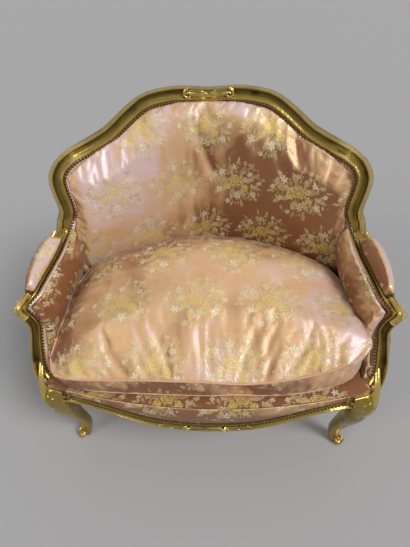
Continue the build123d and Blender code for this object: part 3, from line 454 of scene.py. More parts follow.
def brocade_cloth():
    material, tree, shader = new_finish("brocade", satin_copper[:3], 0.38)
    attribute = tree.nodes.new("ShaderNodeAttribute")
    attribute.attribute_name = "cloth_place"
    position = attribute.outputs["Vector"]
    group = tree.nodes.new("ShaderNodeGroup")
    group.node_tree = bouquet
    warp = tree.nodes.new("ShaderNodeTexNoise")
    warp.inputs["Scale"].default_value = 55.0
    tree.links.new(position, warp.inputs["Vector"])
    wander = vector_calc(tree, "SUBTRACT", warp.outputs["Color"], (0.5, 0.5, 0.5))
    wander = vector_calc(tree, "MULTIPLY", wander, (0.012, 0.012, 0))
    tree.links.new(within_repeat(tree, vector_calc(tree, "ADD", position, wander)), group.inputs[0])
    worn = ramp(tree, noise(tree, position, 190.0, 2.0), 0.34, 0.58)
    masks = []
    for mask in group.outputs:
        share = calc(tree, "MULTIPLY_ADD", worn, 0.6, 0.4)
        masks.append(times(tree, mask, share))
    # Painted light: how far the surface faces the window, with cloudy patches and the stored bias added,
    # picks the ground colour.
    facing = tree.nodes.new("ShaderNodeTexCoord").outputs["Normal"]
    parts = tree.nodes.new("ShaderNodeSeparateXYZ")
    tree.links.new(position, parts.inputs[0])
    cloudy = calc(tree, "MULTIPLY_ADD", noise(tree, position, 9.0, 2.0), 1.0, -0.5)
    painted_light_bias = calc(tree, "ADD", cloudy, parts.outputs[2])
    lit = calc(tree, "ADD", vector_calc(tree, "DOT_PRODUCT", facing, window_side), painted_light_bias)
    color = mix(tree, ramp(tree, lit, 0.0, 0.48), satin_copper, satin_peach)
    color = mix(tree, ramp(tree, lit, 0.52, 0.95), color, painted_sheen_lilac)
    leaf_color = patchy(tree, position, 30.0, 2.0, leaf_olive, leaf_thread)
    petal_color = patchy(tree, position, 22.0, 1.0, leaf_thread, cream_thread)
    for mask, threads in zip(masks, (leaf_color, petal_color, gold_thread)):
        color = mix(tree, times(tree, mask, 0.92), color, threads)
    tree.links.new(color, shader.inputs["Base Color"])
    raised = calc(tree, "MAXIMUM", masks[0], calc(tree, "MAXIMUM", masks[1], masks[2]))
    tree.links.new(calc(tree, "MULTIPLY_ADD", raised, 0.20, 0.31), shader.inputs["Roughness"])
    ribs = calc(tree, "SINE", times(tree, parts.outputs[1], rib_count))
    bump(tree, shader, calc(tree, "MULTIPLY_ADD", ribs, 0.12, raised), 0.0005)
    for name, value in satin_gloss:
        shader.inputs[name].default_value = value
    return material


brocade = brocade_cloth()

# %% Plain finishes
plain_wood = new_finish("plain_beech", (0.50, 0.34, 0.19), 0.6)[0]
jute = new_finish("jute", (0.36, 0.27, 0.15), 0.9)[0]
wire = new_finish("spring_wire", (0.35, 0.32, 0.28), 0.4, 1.0)[0]
lining = new_finish("lining_cloth", (0.58, 0.50, 0.40), 0.9)[0]
ticking = new_finish("cushion_bag", (0.74, 0.70, 0.62), 0.9)[0]
welt = new_finish("welt_satin", (0.60, 0.33, 0.21), 0.4)[0]
bronze = new_finish("nail_bronze", (0.13, 0.085, 0.040), 0.30, 1.0)[0]

# %% [markdown]
# ## The wooden frame
#
# The carver's mouldings are in the solids. Their welded copies only need smooth shading over
# the gentle turns, while the sharp arrises between bead, cove and rebate stay crisp.

# %% Gild the frame
subparts = frame["record"]["subparts"]
gilded_nodes = [part["node"] for part in subparts if part["material_slot"] == "gilt_wood"]
crisp_angle = math.radians(50)
leg_net = 0.0025
knee_place = (0.462, -0.312, 0.312)
knee_way = (0.6, -0.8, 0)
knee_width = 0.034
knee_out = 0.007
leg_front = (0.452, -0.272, 0)
shoulder_share = 0.55
shoulder_from = 0.310
shoulder_rise = 0.042


def round_leg(leg, side):
    """Round the leg's arrises as a carver does, and swell its knee."""
    even_net(leg, leg_net)
    relax(leg, 5)
    points = points_of(leg)
    outward = mirrored(knee_way, side)
    swell = bell(np.linalg.norm(points - mirrored(knee_place, side), axis=1), 0, knee_width)
    ahead = np.clip((points - mirrored(leg_front, side)) @ outward, 0, 1)
    drawn_in = shoulder_share * np.clip((points[:, 2] - shoulder_from) / shoulder_rise, 0, 1) ** 2
    move_points(leg, points + np.outer(swell * knee_out - ahead * drawn_in, outward))
    pick(leg)
    bpy.ops.object.shade_smooth()


for node in gilded_nodes:
    member = welded_copy(node, node + "_gilded")
    pick(member)
    bpy.ops.object.shade_smooth_by_angle(angle=crisp_angle)
    if node.startswith("front_leg"):
        round_leg(member, 1 if node.endswith("right") else -1)
    stand_for(member, node, gilding)
print("gilded members:", len(gilded_nodes))

# %% [markdown]
# Most of what the upholstery hides only gets a plain finish. The two rails under the arm pads
# are shown with their front ends set back, so that they don't peep out of the rounded pads.

# %% Finish what the upholstery hides
hidden_finishes = {
    "plain_wood": plain_wood, "webbing": jute, "spring_steel": wire,
    "lining_cloth": lining, "padding": ticking,
}
for part in subparts:
    material = hidden_finishes.get(part["material_slot"])
    if material:
        nodes[part["node"]].data.materials.clear()
        nodes[part["node"]].data.materials.append(material)

rail_setback = 0.022
for side in ("right", "left"):
    node = "arm_tacking_rail_" + side
    rail = welded_copy(node, node + "_beech")
    points = points_of(rail)
    points[:, 1] = np.maximum(points[:, 1], points[:, 1].min() + rail_setback)
    move_points(rail, points)
    stand_for(rail, node, plain_wood)

# %% [markdown]
# ## Padding
#
# Real padding is a skin pulled over something soft. Here a copy of the plain solid is remeshed
# into an even net, and Blender's cloth is blown up a little from inside while the edge that is
# nailed down stays put. How far a point may travel is capped, so the pad keeps its place.

# %% Blow up with cloth
sim_steps = 20


def soft_copy(node, name, voxel, rounds):
    """A welded copy of a CAD node with an even, smoothed net."""
    pad = welded_copy(node, name)
    even_net(pad, voxel)
    relax(pad, rounds)
    return pad


def blow_up(piece, pressure, cap, held, spread=0.0):
    """Cloth under pressure from inside; points marked as held stay, and others move at most by cap."""
    rest = points_of(piece)
    group = piece.vertex_groups.new(name="held")
    group.add([int(index) for index in np.nonzero(held)[0]], 1.0, "REPLACE")
    cloth = piece.modifiers.new("cloth", "CLOTH")
    settings = cloth.settings
    settings.quality = 4
    settings.mass = 0.25
    settings.tension_stiffness = 12
    settings.compression_stiffness = 12
    settings.bending_stiffness = 0.4
    settings.use_pressure = True
    settings.uniform_pressure_force = pressure
    settings.shrink_min = -spread
    settings.vertex_group_mass = "held"
    settings.effector_weights.gravity = 0
    for step in range(1, sim_steps + 1):
        bpy.context.scene.frame_set(step)
    shown = piece.evaluated_get(bpy.context.evaluated_depsgraph_get())
    flat = np.zeros(len(rest) * 3)
    shown.data.vertices.foreach_get("co", flat)
    move = flat.reshape(-1, 3) - rest
    length = np.linalg.norm(move, axis=1, keepdims=True)
    piece.modifiers.remove(cloth)
    bpy.context.scene.frame_set(1)
    move_points(piece, rest + move * np.minimum(1, cap / np.maximum(length, 1e-9)))
    print(piece.name, "points", len(rest), "mean move mm", round(float(length.mean()) * 1000, 1))


def store_cloth_place(piece, across, up, painted_light_bias):
    """Keep each point's place on the flat cloth, and its painted light bias, as an attribute of the mesh."""
    place = np.column_stack([across, up, painted_light_bias + np.zeros(len(across))])
    attribute = piece.data.attributes.new("cloth_place", "FLOAT_VECTOR", "POINT")
    attribute.data.foreach_set("vector", place.astype(np.float32).ravel())


def finish_pad(piece, node):
    pick(piece)
    bpy.ops.object.shade_smooth()
    stand_for(piece, node, brocade)


# %% [markdown]
# The inside back is one wide pad. It is nailed down along the crest and the posts, and its
# lower edge is tucked behind the cushion.

# %% Inside back
pad_voxel = 0.006
back_low, back_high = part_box("inside_back_pad")
# Painted light on the back: the upper left is lit towards lilac and the right shaded to copper; two more
# spots paint highlights, at the top right corner and along the top.
back_light_and_shade_spots = [((-0.26, 0.76), 0.19, 0.40), ((0.22, 0.66), 0.20, -0.28)]
back_highlight_spots = [((0.37, 0.79), 0.055, 0.45), ((0.05, 0.90), 0.10, 0.25)]
back_creases = [
    ((-0.045, 0.86), (0.01, 0.72), 0.016, 0.006), ((0.165, 0.88), (0.235, 0.72), 0.018, 0.007),
    ((-0.19, 0.86), (-0.24, 0.74), 0.020, 0.004), ((0.10, 0.86), (0.13, 0.74), 0.022, -0.004),
]


def soft_spots(x, y, spots):
    """Round soft spots, added up; each has a place, a size and an amount."""
    return sum(amount * (bell(x, place[0], size) * bell(y, place[1], size)) for place, size, amount in spots)


def crease(x, z, start, end, width):
    """A soft straight valley between two places, seen from the front."""
    start, end = np.array(start), np.array(end)
    offset = np.column_stack([x, z]) - start
    share = np.clip(offset @ (end - start) / (end - start).dot(end - start), 0, 1)
    return bell(np.linalg.norm(offset - share[:, None] * (end - start), axis=1), 0, width)


inside_back = soft_copy("inside_back_pad", "inside_back_brocade", pad_voxel, 6)
facing = normals_of(inside_back)
x, _, z = points_of(inside_back).T
back_painted_light = soft_spots(x, z, back_light_and_shade_spots) + soft_spots(x, z, back_highlight_spots)
store_cloth_place(inside_back, x * 1.08 + 0.012, z * 1.02 + 0.035, back_painted_light)
blow_up(inside_back, 3.0, 0.010, facing[:, 1] > -0.2, spread=0.02)
dent = sum(depth * crease(x, z, start, end, width) for start, end, width, depth in back_creases)
points = points_of(inside_back)
points[:, 1] += dent * np.clip(-facing[:, 1], 0, 1)
move_points(inside_back, points)
finish_pad(inside_back, "inside_back_pad")
print("inside back from", round(back_low.z, 3), "to", round(back_high.z, 3), "m above the floor")

# %% Inside arms
arm_voxel = 0.005
# Painted light and shade: the right inside arm is lightened, and the left one, which faces the window, is
# darkened to shaded copper.
arm_painted_light = {"right": 0.75, "left": -1.0}
for side in ("right", "left"):
    node = "inside_arm_pad_" + side
    pad = soft_copy(node, "inside_arm_brocade_" + side, arm_voxel, 12)
    points = points_of(pad)
    sign = 1 if side == "right" else -1
    store_cloth_place(pad, points[:, 1] + 0.03, points[:, 2] * 1.05 + 0.08, arm_painted_light[side])
    tuck = np.clip(points[:, 1] / 0.06, 0, 1) ** 2
    crown = bell(points[:, 2], 0.52, 0.07) * np.clip(-normals_of(pad)[:, 0] * sign, 0, 1)
    shift = np.column_stack([-sign * 0.008 * crown, 0.030 * tuck, 0.010 * tuck])
    move_points(pad, points + shift)
    blow_up(pad, 3.0, 0.008, normals_of(pad)[:, 0] * sign > 0.2, spread=0.01)
    finish_pad(pad, node)

# %% Arm tops, front border and outside covers
small_voxel = 0.004
# The last number of each is painted light: the front border is painted a little shaded.
for node, rounds, fill, across_axis, up_axis, painted_light_bias in (
    ("manchette_right", 3, 0.9, 1, 0, 0.0),
    ("manchette_left", 3, 0.9, 1, 0, 0.0),
    ("front_border", 2, 0.8, 0, 2, -0.2),
):
    pad = soft_copy(node, node + "_brocade", small_voxel, rounds)
    points = points_of(pad)
    store_cloth_place(pad, points[:, across_axis] + 0.05, points[:, up_axis] + 0.02, painted_light_bias)
    finish_pad(pad, node)
side_covers = ("outside_arm_cover_right", "outside_arm_cover_left")
for node in ("outside_back_cover", "seat_deck_cover", "seat_deck_pad") + side_covers:
    cover = welded_copy(node, node + "_brocade")
    points = points_of(cover)
    across = points[:, 1] if node in side_covers else points[:, 0]
    up = points[:, 2] + (points[:, 1] if node.startswith("seat_deck") else 0)
    # Painted shade: the seat deck is darkened to shaded copper; the outside covers are painted a little
    # lighter.
    painted_light_bias = -0.7 if node.startswith("seat_deck") else 0.1
    store_cloth_place(cover, across, up + 0.04, painted_light_bias)
    pick(cover)
    bpy.ops.object.shade_smooth_by_angle(angle=crisp_angle)
    stand_for(cover, node, brocade)

# %% [markdown]
# The cushion is a feather cushion: a flat underside, a boxed edge between two welts, and a
# crown that is fullest towards the back. The CAD cover is hollow, so only its outer shell is
# kept before the remesh. The welts follow the net's own points, so they ride with the bulge.

# %% Seat cushion
cushion_voxel = 0.006
cushion = welded_copy("cushion_cover", "cushion_brocade")
in_edit_mode(cushion, lambda: bpy.ops.mesh.separate(type="LOOSE"))
shells = sorted(bpy.context.selected_objects, key=lambda shell: -max(shell.dimensions))
cushion = shells[0]
cushion.name = "cushion_brocade"
for shell in shells[1:]:
    bpy.data.objects.remove(shell)
even_net(cushion, cushion_voxel)
cushion_low, cushion_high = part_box("cushion_cover")
seam_low = cushion_low.z + 0.009
seam_rise = 0.085
seam_apart = 0.066
# Painted light on the cushion's top: lighter spots at the front right, the front middle and the left.
cushion_light_spots = [((0.36, -0.27), 0.11, 0.30), ((0.02, -0.30), 0.10, 0.16), ((-0.30, -0.15), 0.16, 0.16)]


def seam_high(y):
    """Height of the upper welt, which rises towards the back."""
    return seam_low + seam_apart + (y - cushion_low.y) * seam_rise


cushion_rest = points_of(cushion)
facing = normals_of(cushion)
x, y, z = cushion_rest.T
on_top = z > seam_high(y)
sideways = np.abs(facing[:, 0]) > np.abs(facing[:, 1])
across = np.where(on_top, x, np.where(sideways, y, x))
up = np.where(on_top, y, z)
cushion_painted_light = soft_spots(x, y, cushion_light_spots)
# Painted shade: darker towards the back, on every face that does not face up, and a little overall.
cushion_painted_light -= 0.34 * bell(y, 0.14, 0.13) + 0.14 * (facing[:, 2] < 0.3) + 0.04
store_cloth_place(cushion, across * 1.02 + 0.03, up * 1.05 + 0.06, cushion_painted_light)
seam_gap = np.minimum(np.abs(z - seam_high(y)), np.abs(z - seam_low))
on_seam = (seam_gap < 0.003) & (np.abs(facing[:, 2]) < 0.9) & ~on_top
blow_up(cushion, 3.5, 0.014, (z < seam_low - 0.004) | on_seam, spread=0.03)

# %% [markdown]
# The photographed cushion has been sat on and pushed back. Its front corner on one side stands
# up, the front edge has slipped and buckled near the middle, and the satin has gathered into
# short folds along the welt. These are soft moves of the net, added after the simulation.

# %% Buckle, lifted corner and gathers
corner_lift = 0.074
corner_out = 0.010
corner_back = 0.026
other_corner_out = 0.010
other_corner_drop = 0.008
crown_rise = 0.036
front_rise = 0.010
slip_drop = 0.010
buckle_depth = 0.014
gather_depth = 0.0026
gather_pitch = 0.027
hollow_depth = 0.006
front_y = cushion_low.y
above = np.clip((z - cushion_low.z) / 0.075, 0, 1)
shift = np.zeros_like(cushion_rest)
corner = np.clip((x - 0.10) / 0.30, 0, 1) ** 2 * bell(y, front_y, 0.20)
shift[:, 0] += corner_out * corner * above
shift[:, 1] += corner_back * corner
shift[:, 2] += corner_lift * corner * (0.12 + 0.88 * above)
shift[:, 2] += crown_rise * bell(x, -0.02, 0.30) * bell(y, 0.07, 0.14) * on_top
other_corner = np.clip((-x - 0.15) / 0.25, 0, 1) ** 2 * bell(y, front_y, 0.12) * above
shift -= np.outer(other_corner, (other_corner_out, other_corner_out, other_corner_drop))
shift[:, 2] += front_rise * bell(x, -0.03, 0.20) * bell(y, front_y, 0.10) * above
slip = bell(x, 0.09, 0.055) * bell(y, front_y, 0.045)
shift[:, 1] += buckle_depth * slip * np.sin(above * math.pi)
shift[:, 2] -= slip_drop * slip * above
near_front = bell(y, front_y, 0.12) * np.where(on_top, 1.0, 0.5)
folds = np.sin(2 * math.pi * x / gather_pitch + 2.6 * np.sin(x * 23.0) + 22 * y + 1.5 * np.sin(y * 31))
folds *= np.clip((x + 0.02) / 0.30, 0, 1) * (0.45 + 0.55 * np.sin(x * 41 + y * 17))
shift += facing * (gather_depth * near_front * folds)[:, None]
hollow = bell(x, -0.10, 0.035) * bell(y, -0.20, 0.09) + 0.8 * bell(x, 0.06, 0.03) * bell(y, -0.16, 0.10)
shift[:, 2] -= hollow_depth * hollow * on_top
move_points(cushion, points_of(cushion) + shift)
relax(cushion, 2, 0.4)
finish_pad(cushion, "cushion_cover")
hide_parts("cushion_cover", "cushion_filling")

# %% Rods: curves with a thickness
def resampled(points, count, closed):
    """The same path with its points evenly spaced."""
    points = np.asarray(points, dtype=float)
    if closed:
        points = np.vstack([points, points[:1]])
    along = distance_along(points)
    return rows_at(np.linspace(0, along[-1], count + 1 if closed else count), along, points)[:count]


def rod(name, path, radius, closed=False, taper=(1.0, 1.0), least=9):
    """A rod along a path, thinner towards its ends if tapered, turned into a mesh."""
    if closed:
        bpy.ops.curve.primitive_nurbs_circle_add()
    else:
        bpy.ops.curve.primitive_nurbs_path_add()
    piece = bpy.context.object
    piece.name = name
    while len(piece.data.splines[0].points) < least:
        bpy.ops.object.mode_set(mode="EDIT")
        bpy.ops.curve.select_all(action="SELECT")
        bpy.ops.curve.subdivide()
        bpy.ops.object.mode_set(mode="OBJECT")
    spline = piece.data.splines[0]
    spline.use_endpoint_u = not closed
    route = resampled(path, len(spline.points), closed)
    for index, (point, place) in enumerate(zip(spline.points, route)):
        share = index / len(spline.points)
        point.co = (*place, 1)
        point.radius = taper[0] + (taper[1] - taper[0]) * share
    piece.data.dimensions = "3D"
    piece.data.resolution_u = 3
    piece.data.bevel_depth = radius
    piece.data.bevel_resolution = 2
    piece.data.use_fill_caps = True
    piece.location = (0, 0, 0)
    pick(piece)
    bpy.ops.object.convert(target="MESH")
    bpy.ops.object.shade_smooth()
    return piece


# %% Welts that follow the moved seams
welt_radius = 0.0032
welt_points = 120
cushion_now = points_of(cushion)
middle_y = (cushion_low.y + cushion_high.y) / 2
across, along = x / 0.42, (y - middle_y) / 0.26
angles = np.arctan2(along, across)
side_wall = np.hypot(along, across) > 0.75


def seam_path(heights, count):
    """The moved net's own points along a seam, evened out."""
    path = []
    for step in range(count):
        angle = 2 * math.pi * step / count
        apart = np.abs((angles - angle + math.pi) % (2 * math.pi) - math.pi)
        misfit = np.abs(z - heights) + apart * 0.15 + np.where(side_wall, 0, 1)
        path.append(cushion_now[np.argsort(misfit)[:5]].mean(axis=0))
    path = np.array(path)
    for repeat in range(2):
        path = (np.roll(path, 1, axis=0) + 2 * path + np.roll(path, -1, axis=0)) / 4
    outward = path - np.array([0, middle_y, 0])
    outward[:, 2] = 0
    return path + outward / np.linalg.norm(outward, axis=1, keepdims=True) * 0.001


welts = [
    rod(name, seam_path(heights, welt_points), welt_radius, closed=True, least=welt_points)
    for name, heights in (("welt_high", seam_high(y)), ("welt_low", seam_low))
]
piping = joined(welts, "cushion_welts")
stand_for(piping, "cushion_piping", welt)
print("welt faces:", len(piping.data.polygons))

# %% [markdown]
# ## Nails
#
# The upholsterer turns the brocade's edge under and holds it with domed nails, each touching
# the next. One long row hugs the inner bead: it starts at the seat, climbs the support, follows
# the arm and the whole back, and comes down the other side. Its line is worked out from the
# same few shares of the chair's width, depth and height as the frame itself.

# %% The line of nails on the frame
half_width = 0.500
half_depth = 0.367
chair_height = 0.951
arm_level = 0.605
rail_level = 0.352
moulding = 0.037
nail_inset = 0.0043
back_rake = math.radians(10)
bow_top, bow_arm = 0.638, 0.516
crest_y = 0.335
back_shares = [
    (0.0, 0.983), (0.108, 0.994), (0.21, 1.0), (0.35, 0.977), (0.442, 0.916),
    (0.532, 0.824), (0.604, 0.751), (0.706, 0.694), (0.794, 0.659), (0.86, 0.604),
    (0.894, 0.532), (0.904, 0.471), (0.9, 0.39), (0.89, 0.309), (0.878, 0.205), (0.893, 0.139),
]
arm_shares = [
    ((0.964, 0.095, 1.059), (0.856, 0.095, 1.043), (-0.3, -0.25, 0.9)),
    ((0.986, -0.027, 1.028), (0.866, -0.027, 1.016), (-0.05, -0.05, 1.0)),
    ((0.992, -0.163, 1.008), (0.884, -0.163, 0.988), (-0.05, 0.0, 1.0)),
    ((0.986, -0.286, 0.996), (0.9, -0.286, 0.965), (-0.05, -0.05, 1.0)),
    ((0.974, -0.381, 0.984), (0.912, -0.376, 0.941), (-0.05, -0.1, 1.0)),
    ((0.982, -0.469, 0.98), (0.928, -0.436, 0.921), (-0.05, -0.3, 0.9)),
    ((0.994, -0.55, 0.962), (0.948, -0.501, 0.901), (-0.02, -0.65, 0.72)),
]
support_shares = [
    ((0.992, -0.574, 0.894), (0.942, -0.512, 0.846), (-0.02, -0.88, 0.35)),
    ((0.978, -0.567, 0.791), (0.922, -0.518, 0.763), (-0.05, -0.98, 0.05)),
    ((0.966, -0.567, 0.644), (0.91, -0.529, 0.632), (-0.1, -0.97, -0.1)),
    ((0.98, -0.605, 0.474), (0.918, -0.567, 0.498), (-0.1, -0.95, -0.2)),
    ((0.994, -0.654, 0.316), (0.924, -0.621, 0.348), (-0.1, -0.97, -0.1)),
    ((0.994, -0.703, 0.19), (0.926, -0.67, 0.221), (-0.1, -0.97, 0.1)),
    ((0.98, -0.757, 0.079), (0.914, -0.714, 0.126), (-0.15, -0.92, 0.3)),
]


def unit(vector):
    return vector / np.linalg.norm(vector)


def back_y(x, z):
    """Depth of the bowed, leaning face of the back."""
    rise = (z - arm_level) / (chair_height - arm_level)
    bow_share = min(max((0.68 - rise) / 0.52, 0), 1)
    bow = (1 - bow_share) / (2 * bow_top) + bow_share / (2 * bow_arm)
    return crest_y - (chair_height - z) * math.tan(back_rake) - bow * x * x


def back_facing(x, z):
    step = 0.004
    slope_x = (back_y(x + step, z) - back_y(x - step, z)) / (2 * step)
    slope_z = (back_y(x, z + step) - back_y(x, z - step)) / (2 * step)
    return unit(np.array([slope_x, -1, slope_z]))


def back_half():
    """Outer edge, direction across and facing on the right half of the back."""
    rim = []
    for x_share, rise_share in back_shares:
        x, z = x_share * half_width, arm_level + rise_share * (chair_height - arm_level)
        rim.append(np.array([x, back_y(x, z), z]))
    rows = []
    for index, point in enumerate(rim):
        ahead = rim[min(index + 1, len(rim) - 1)]
        behind = rim[index - 1] if index else rim[1] * (-1, 1, 1)
        facing = back_facing(point[0], point[2])
        rows.append((point, unit(np.cross(unit(ahead - behind), facing)), facing))
    return rows


def frame_place(shares):
    x_share, y_share, rise_share = shares
    z = rail_level + rise_share * (arm_level - rail_level)
    return np.array([x_share * half_width, y_share * half_depth, z])


def arm_and_support():
    rows = []
    for outer, inner, looks in arm_shares + support_shares:
        edge, tack = frame_place(outer), frame_place(inner)
        across = unit(tack - edge)
        wish = np.array(looks)
        rows.append((edge, across, unit(wish - across * wish.dot(across)), np.linalg.norm(tack - edge)))
    return rows


def smooth_rows(rows, rounds=2):
    """Rows of numbers with more set between, where a smooth curve runs."""
    rows = np.asarray(rows, dtype=float)
    for repeat in range(rounds):
        before, after = np.vstack([rows[:1], rows[:-2]]), np.vstack([rows[2:], rows[-1:]])
        middles = (rows[:-1] + rows[1:]) / 2
        between = middles + (middles - (before + after) / 2) / 8
        full = np.empty((2 * len(rows) - 1, rows.shape[1]))
        full[0::2], full[1::2] = rows, between
        rows = full
    return rows


back_rows = [np.hstack([edge, across, facing, moulding + nail_inset]) for edge, across, facing in back_half()]
side_rows = [np.hstack([edge, across, facing, reach]) for edge, across, facing, reach in arm_and_support()]
flip = np.array([-1, 1, 1, -1, 1, 1, -1, 1, 1, 1])
right_rows = np.array(back_rows + side_rows)
rim_rows = smooth_rows(np.vstack([right_rows[:0:-1] * flip, right_rows]))
print("rim rows:", len(rim_rows))

# %% The turned edge of the cloth, along the whole rim
edge_profile = [
    (-0.004, -0.0095), (-0.003, -0.0062), (0.0, -0.0046), (0.006, -0.004), (0.0125, -0.006), (0.016, -0.011),
]


def rim_point(row, inwards, out):
    """A point near the nail line: so far inwards of it, and so far out of the wood's face."""
    return row[0:3] + row[3:6] * (row[9] + inwards) + row[6:9] * out


wide, long = len(edge_profile) - 1, len(rim_rows) - 1
bpy.ops.mesh.primitive_grid_add(x_subdivisions=wide, y_subdivisions=long, size=1)
turned_edge = bpy.context.object
turned_edge.name = "turned_edge"
grid = points_of(turned_edge)
columns = np.rint((grid[:, 0] + 0.5) * wide).astype(int)
steps = np.rint((grid[:, 1] + 0.5) * long).astype(int)
edge_points = [rim_point(rim_rows[step], *edge_profile[column]) for step, column in zip(steps, columns)]
move_points(turned_edge, np.array(edge_points))
along_rim = distance_along(rim_rows[:, :3])
store_cloth_place(turned_edge, along_rim[steps], columns * 0.004, 0)
pick(turned_edge)
bpy.ops.object.shade_smooth()
thickness = turned_edge.modifiers.new("thickness", "SOLIDIFY")
thickness.thickness = 0.001
bpy.ops.object.modifier_apply(modifier="thickness")
turned_edge.data.materials.append(brocade)
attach(turned_edge, "chair")

# %% [markdown]
# One nail is modelled: half a small ball, a little flattened. All the others are copies of it,
# set a nail's width apart and turned to lie flat on the cloth.

# %% One nail, and rows of copies
nail_radius = 0.0046
nail_pitch = 0.0097
nail_sink = 0.0032
nail_rise_share = 0.62


def new_nail():
    bpy.ops.mesh.primitive_uv_sphere_add(segments=8, ring_count=6, radius=nail_radius)
    nail = bpy.context.object
    bpy.ops.object.mode_set(mode="EDIT")
    bpy.ops.mesh.select_all(action="SELECT")
    bpy.ops.mesh.bisect(plane_co=(0, 0, 0), plane_no=(0, 0, 1), clear_inner=True, use_fill=True)
    bpy.ops.mesh.select_all(action="SELECT")
    bpy.ops.transform.resize(value=(1, 1, nail_rise_share), center_override=(0, 0, 0))
    bpy.ops.object.mode_set(mode="OBJECT")
    bpy.ops.object.shade_smooth()
    return nail


def spaced(places, facings, pitch):
    """Places and facings a pitch apart along a path."""
    along = distance_along(places)
    count = max(int(along[-1] / pitch), 1)
    rows = rows_at(np.linspace(0, along[-1], count + 1), along, np.hstack([places, facings]))
    return [(row[:3], row[3:]) for row in rows]


def turned_to(place, facing):
    return Matrix.Translation(Vector(place)) @ Vector(facing).to_track_quat("Z", "Y").to_matrix().to_4x4()


def join_copies(model, places, name):
    """Copies of a modelled piece at many places, joined to one."""
    copies = []
    for place in places:
        copy = model.copy()
        copy.data = model.data.copy()
        copy.matrix_world = place
        bpy.context.scene.collection.objects.link(copy)
        copies.append(copy)
    bpy.data.objects.remove(model)
    return joined(copies, name)


nail_line = np.array([rim_point(row, 0, -nail_sink) for row in rim_rows])
rim_nails = spaced(nail_line, rim_rows[:, 6:9], nail_pitch)
print("nails on the rim:", len(rim_nails))

# %% Nails of the seat and the arm tops
front_bow = 1.650
front_nail_out = 0.0015
front_nail_up = 0.0030
end_nail_count = 4
apron_level = 0.250
apron_shares = [
    (0.0, 0.0, 1.0), (0.165, 0.02, 1.0), (0.31, 0.11, 0.98), (0.43, 0.29, 0.94),
    (0.54, 0.49, 0.86), (0.64, 0.62, 0.78), (0.72, 0.665, 0.72), (0.788, 0.64, 0.72),
]


def front_rows():
    """Bottom edge of the front rail, left to right, with the width of its moulding."""
    half = []
    for x_share, arch_share, moulding_share in apron_shares:
        x = x_share * half_width
        y = -half_depth + x * x / (2 * front_bow)
        z = apron_level + (rail_level - apron_level) * arch_share
        half.append((x, y, z, moulding_share * moulding))
    half = np.array(half)
    return smooth_rows(np.vstack([half[:0:-1] * (-1, 1, 1, 1), half]))


front = front_rows()
front_facing = np.column_stack([front[:, 0] / front_bow, -np.ones(len(front)), np.zeros(len(front))])
front_places = front[:, :3].copy()
front_places[:, 1] -= front_nail_out
front_places[:, 2] += front[:, 3] + front_nail_up
front_nails = spaced(front_places, front_facing, nail_pitch)
end_nails = []
for place, facing in (front_nails[0], front_nails[-1]):
    end_nails += [(place + (0, 0, nail_pitch * (step + 1)), facing) for step in range(end_nail_count)]


def arm_row(position):
    """The arm's section between its stations: edge, across, facing and reach."""
    index = min(int(position), len(side_rows) - 2)
    share = position - index
    return side_rows[index] * (1 - share) + side_rows[index + 1] * share


def arm_pad_nails():
    """Nails round the foot of the right arm pad."""
    rows = [arm_row(step) for step in np.linspace(-0.15, 4.2, 24)]
    outer = [rim_point(row, 0.0015 - row[9], 0.0005) for row in rows]
    inner = [rim_point(row, -0.0135, 0.0005) for row in rows]
    route = np.array(outer + inner[::-1])
    return spaced(route, np.tile([0.0, 0.0, 1.0], (len(route), 1)), nail_pitch)


right_pad_nails = arm_pad_nails()
left_pad_nails = [(place * (-1, 1, 1), facing * (-1, 1, 1)) for place, facing in right_pad_nails]
all_nails = rim_nails + front_nails + end_nails + right_pad_nails + left_pad_nails
nails = join_copies(new_nail(), [turned_to(*place) for place in all_nails], "close_nails")
nails.data.materials.append(bronze)
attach(nails, "chair")
print("nails in all:", len(all_nails), "faces:", len(nails.data.polygons))

# %% [markdown]
# ## Carving
#
# The carver left blocks in the moulding and cut them into leaves, a shell and C-scrolls: one
# group at the middle of the crest, one on the apron, leaves on each knee and one behind each
# arm pad. One leaf with lobes and a midrib is modelled and copied; the scrolls are tapered rods.

# %% One carved leaf
leaf_columns, leaf_steps = 8, 14


def new_leaf():
    """A lobed leaf of length 1 along Y, raised along its midrib and curled at the tip."""
    bpy.ops.mesh.primitive_grid_add(x_subdivisions=leaf_columns, y_subdivisions=leaf_steps, size=1)
    leaf = bpy.context.object
    flat = points_of(leaf)
    across, along = flat[:, 0] * 2, flat[:, 1] + 0.5
    lobes = 0.78 + 0.22 * np.abs(np.cos(along * math.pi * 3.5))
    half = 0.26 * np.sin(math.pi * np.clip(along, 0.02, 0.99) ** 0.75) * lobes + 0.01
    rise = 0.16 * (1 - np.abs(across) ** 1.5) * np.sin(math.pi * np.clip(along, 0.05, 1) ** 0.8)
    veins = 0.035 * np.cos(across * 9.0 - along * 5.0) * np.sin(math.pi * along)
    curl = 0.22 * along ** 4
    move_points(leaf, np.column_stack([across * half, along, rise + veins + curl]))
    pick(leaf)
    bpy.ops.object.shade_smooth()
    body = leaf.modifiers.new("body", "SOLIDIFY")
    body.thickness = 0.10
    body.offset = -1
    bpy.ops.object.modifier_apply(modifier="body")
    return leaf


def laid(origin, along, facing, length, width_share=1.0, height_share=1.0):
    """Where a leaf lies: its root, the way it grows, the way it looks, and its size."""
    along, facing = Vector(along).normalized(), Vector(facing).normalized()
    side = along.cross(facing).normalized()
    facing = side.cross(along)
    turn = Matrix((side, along, facing)).transposed().to_4x4()
    sizes = Matrix.Diagonal((length * width_share, length, length * height_share, 1))
    return Matrix.Translation(Vector(origin)) @ turn @ sizes


# %% Where the carving goes
crest_step = (len(rim_rows) - 1) // 2
rim_travel = along_rim - along_rim[crest_step]


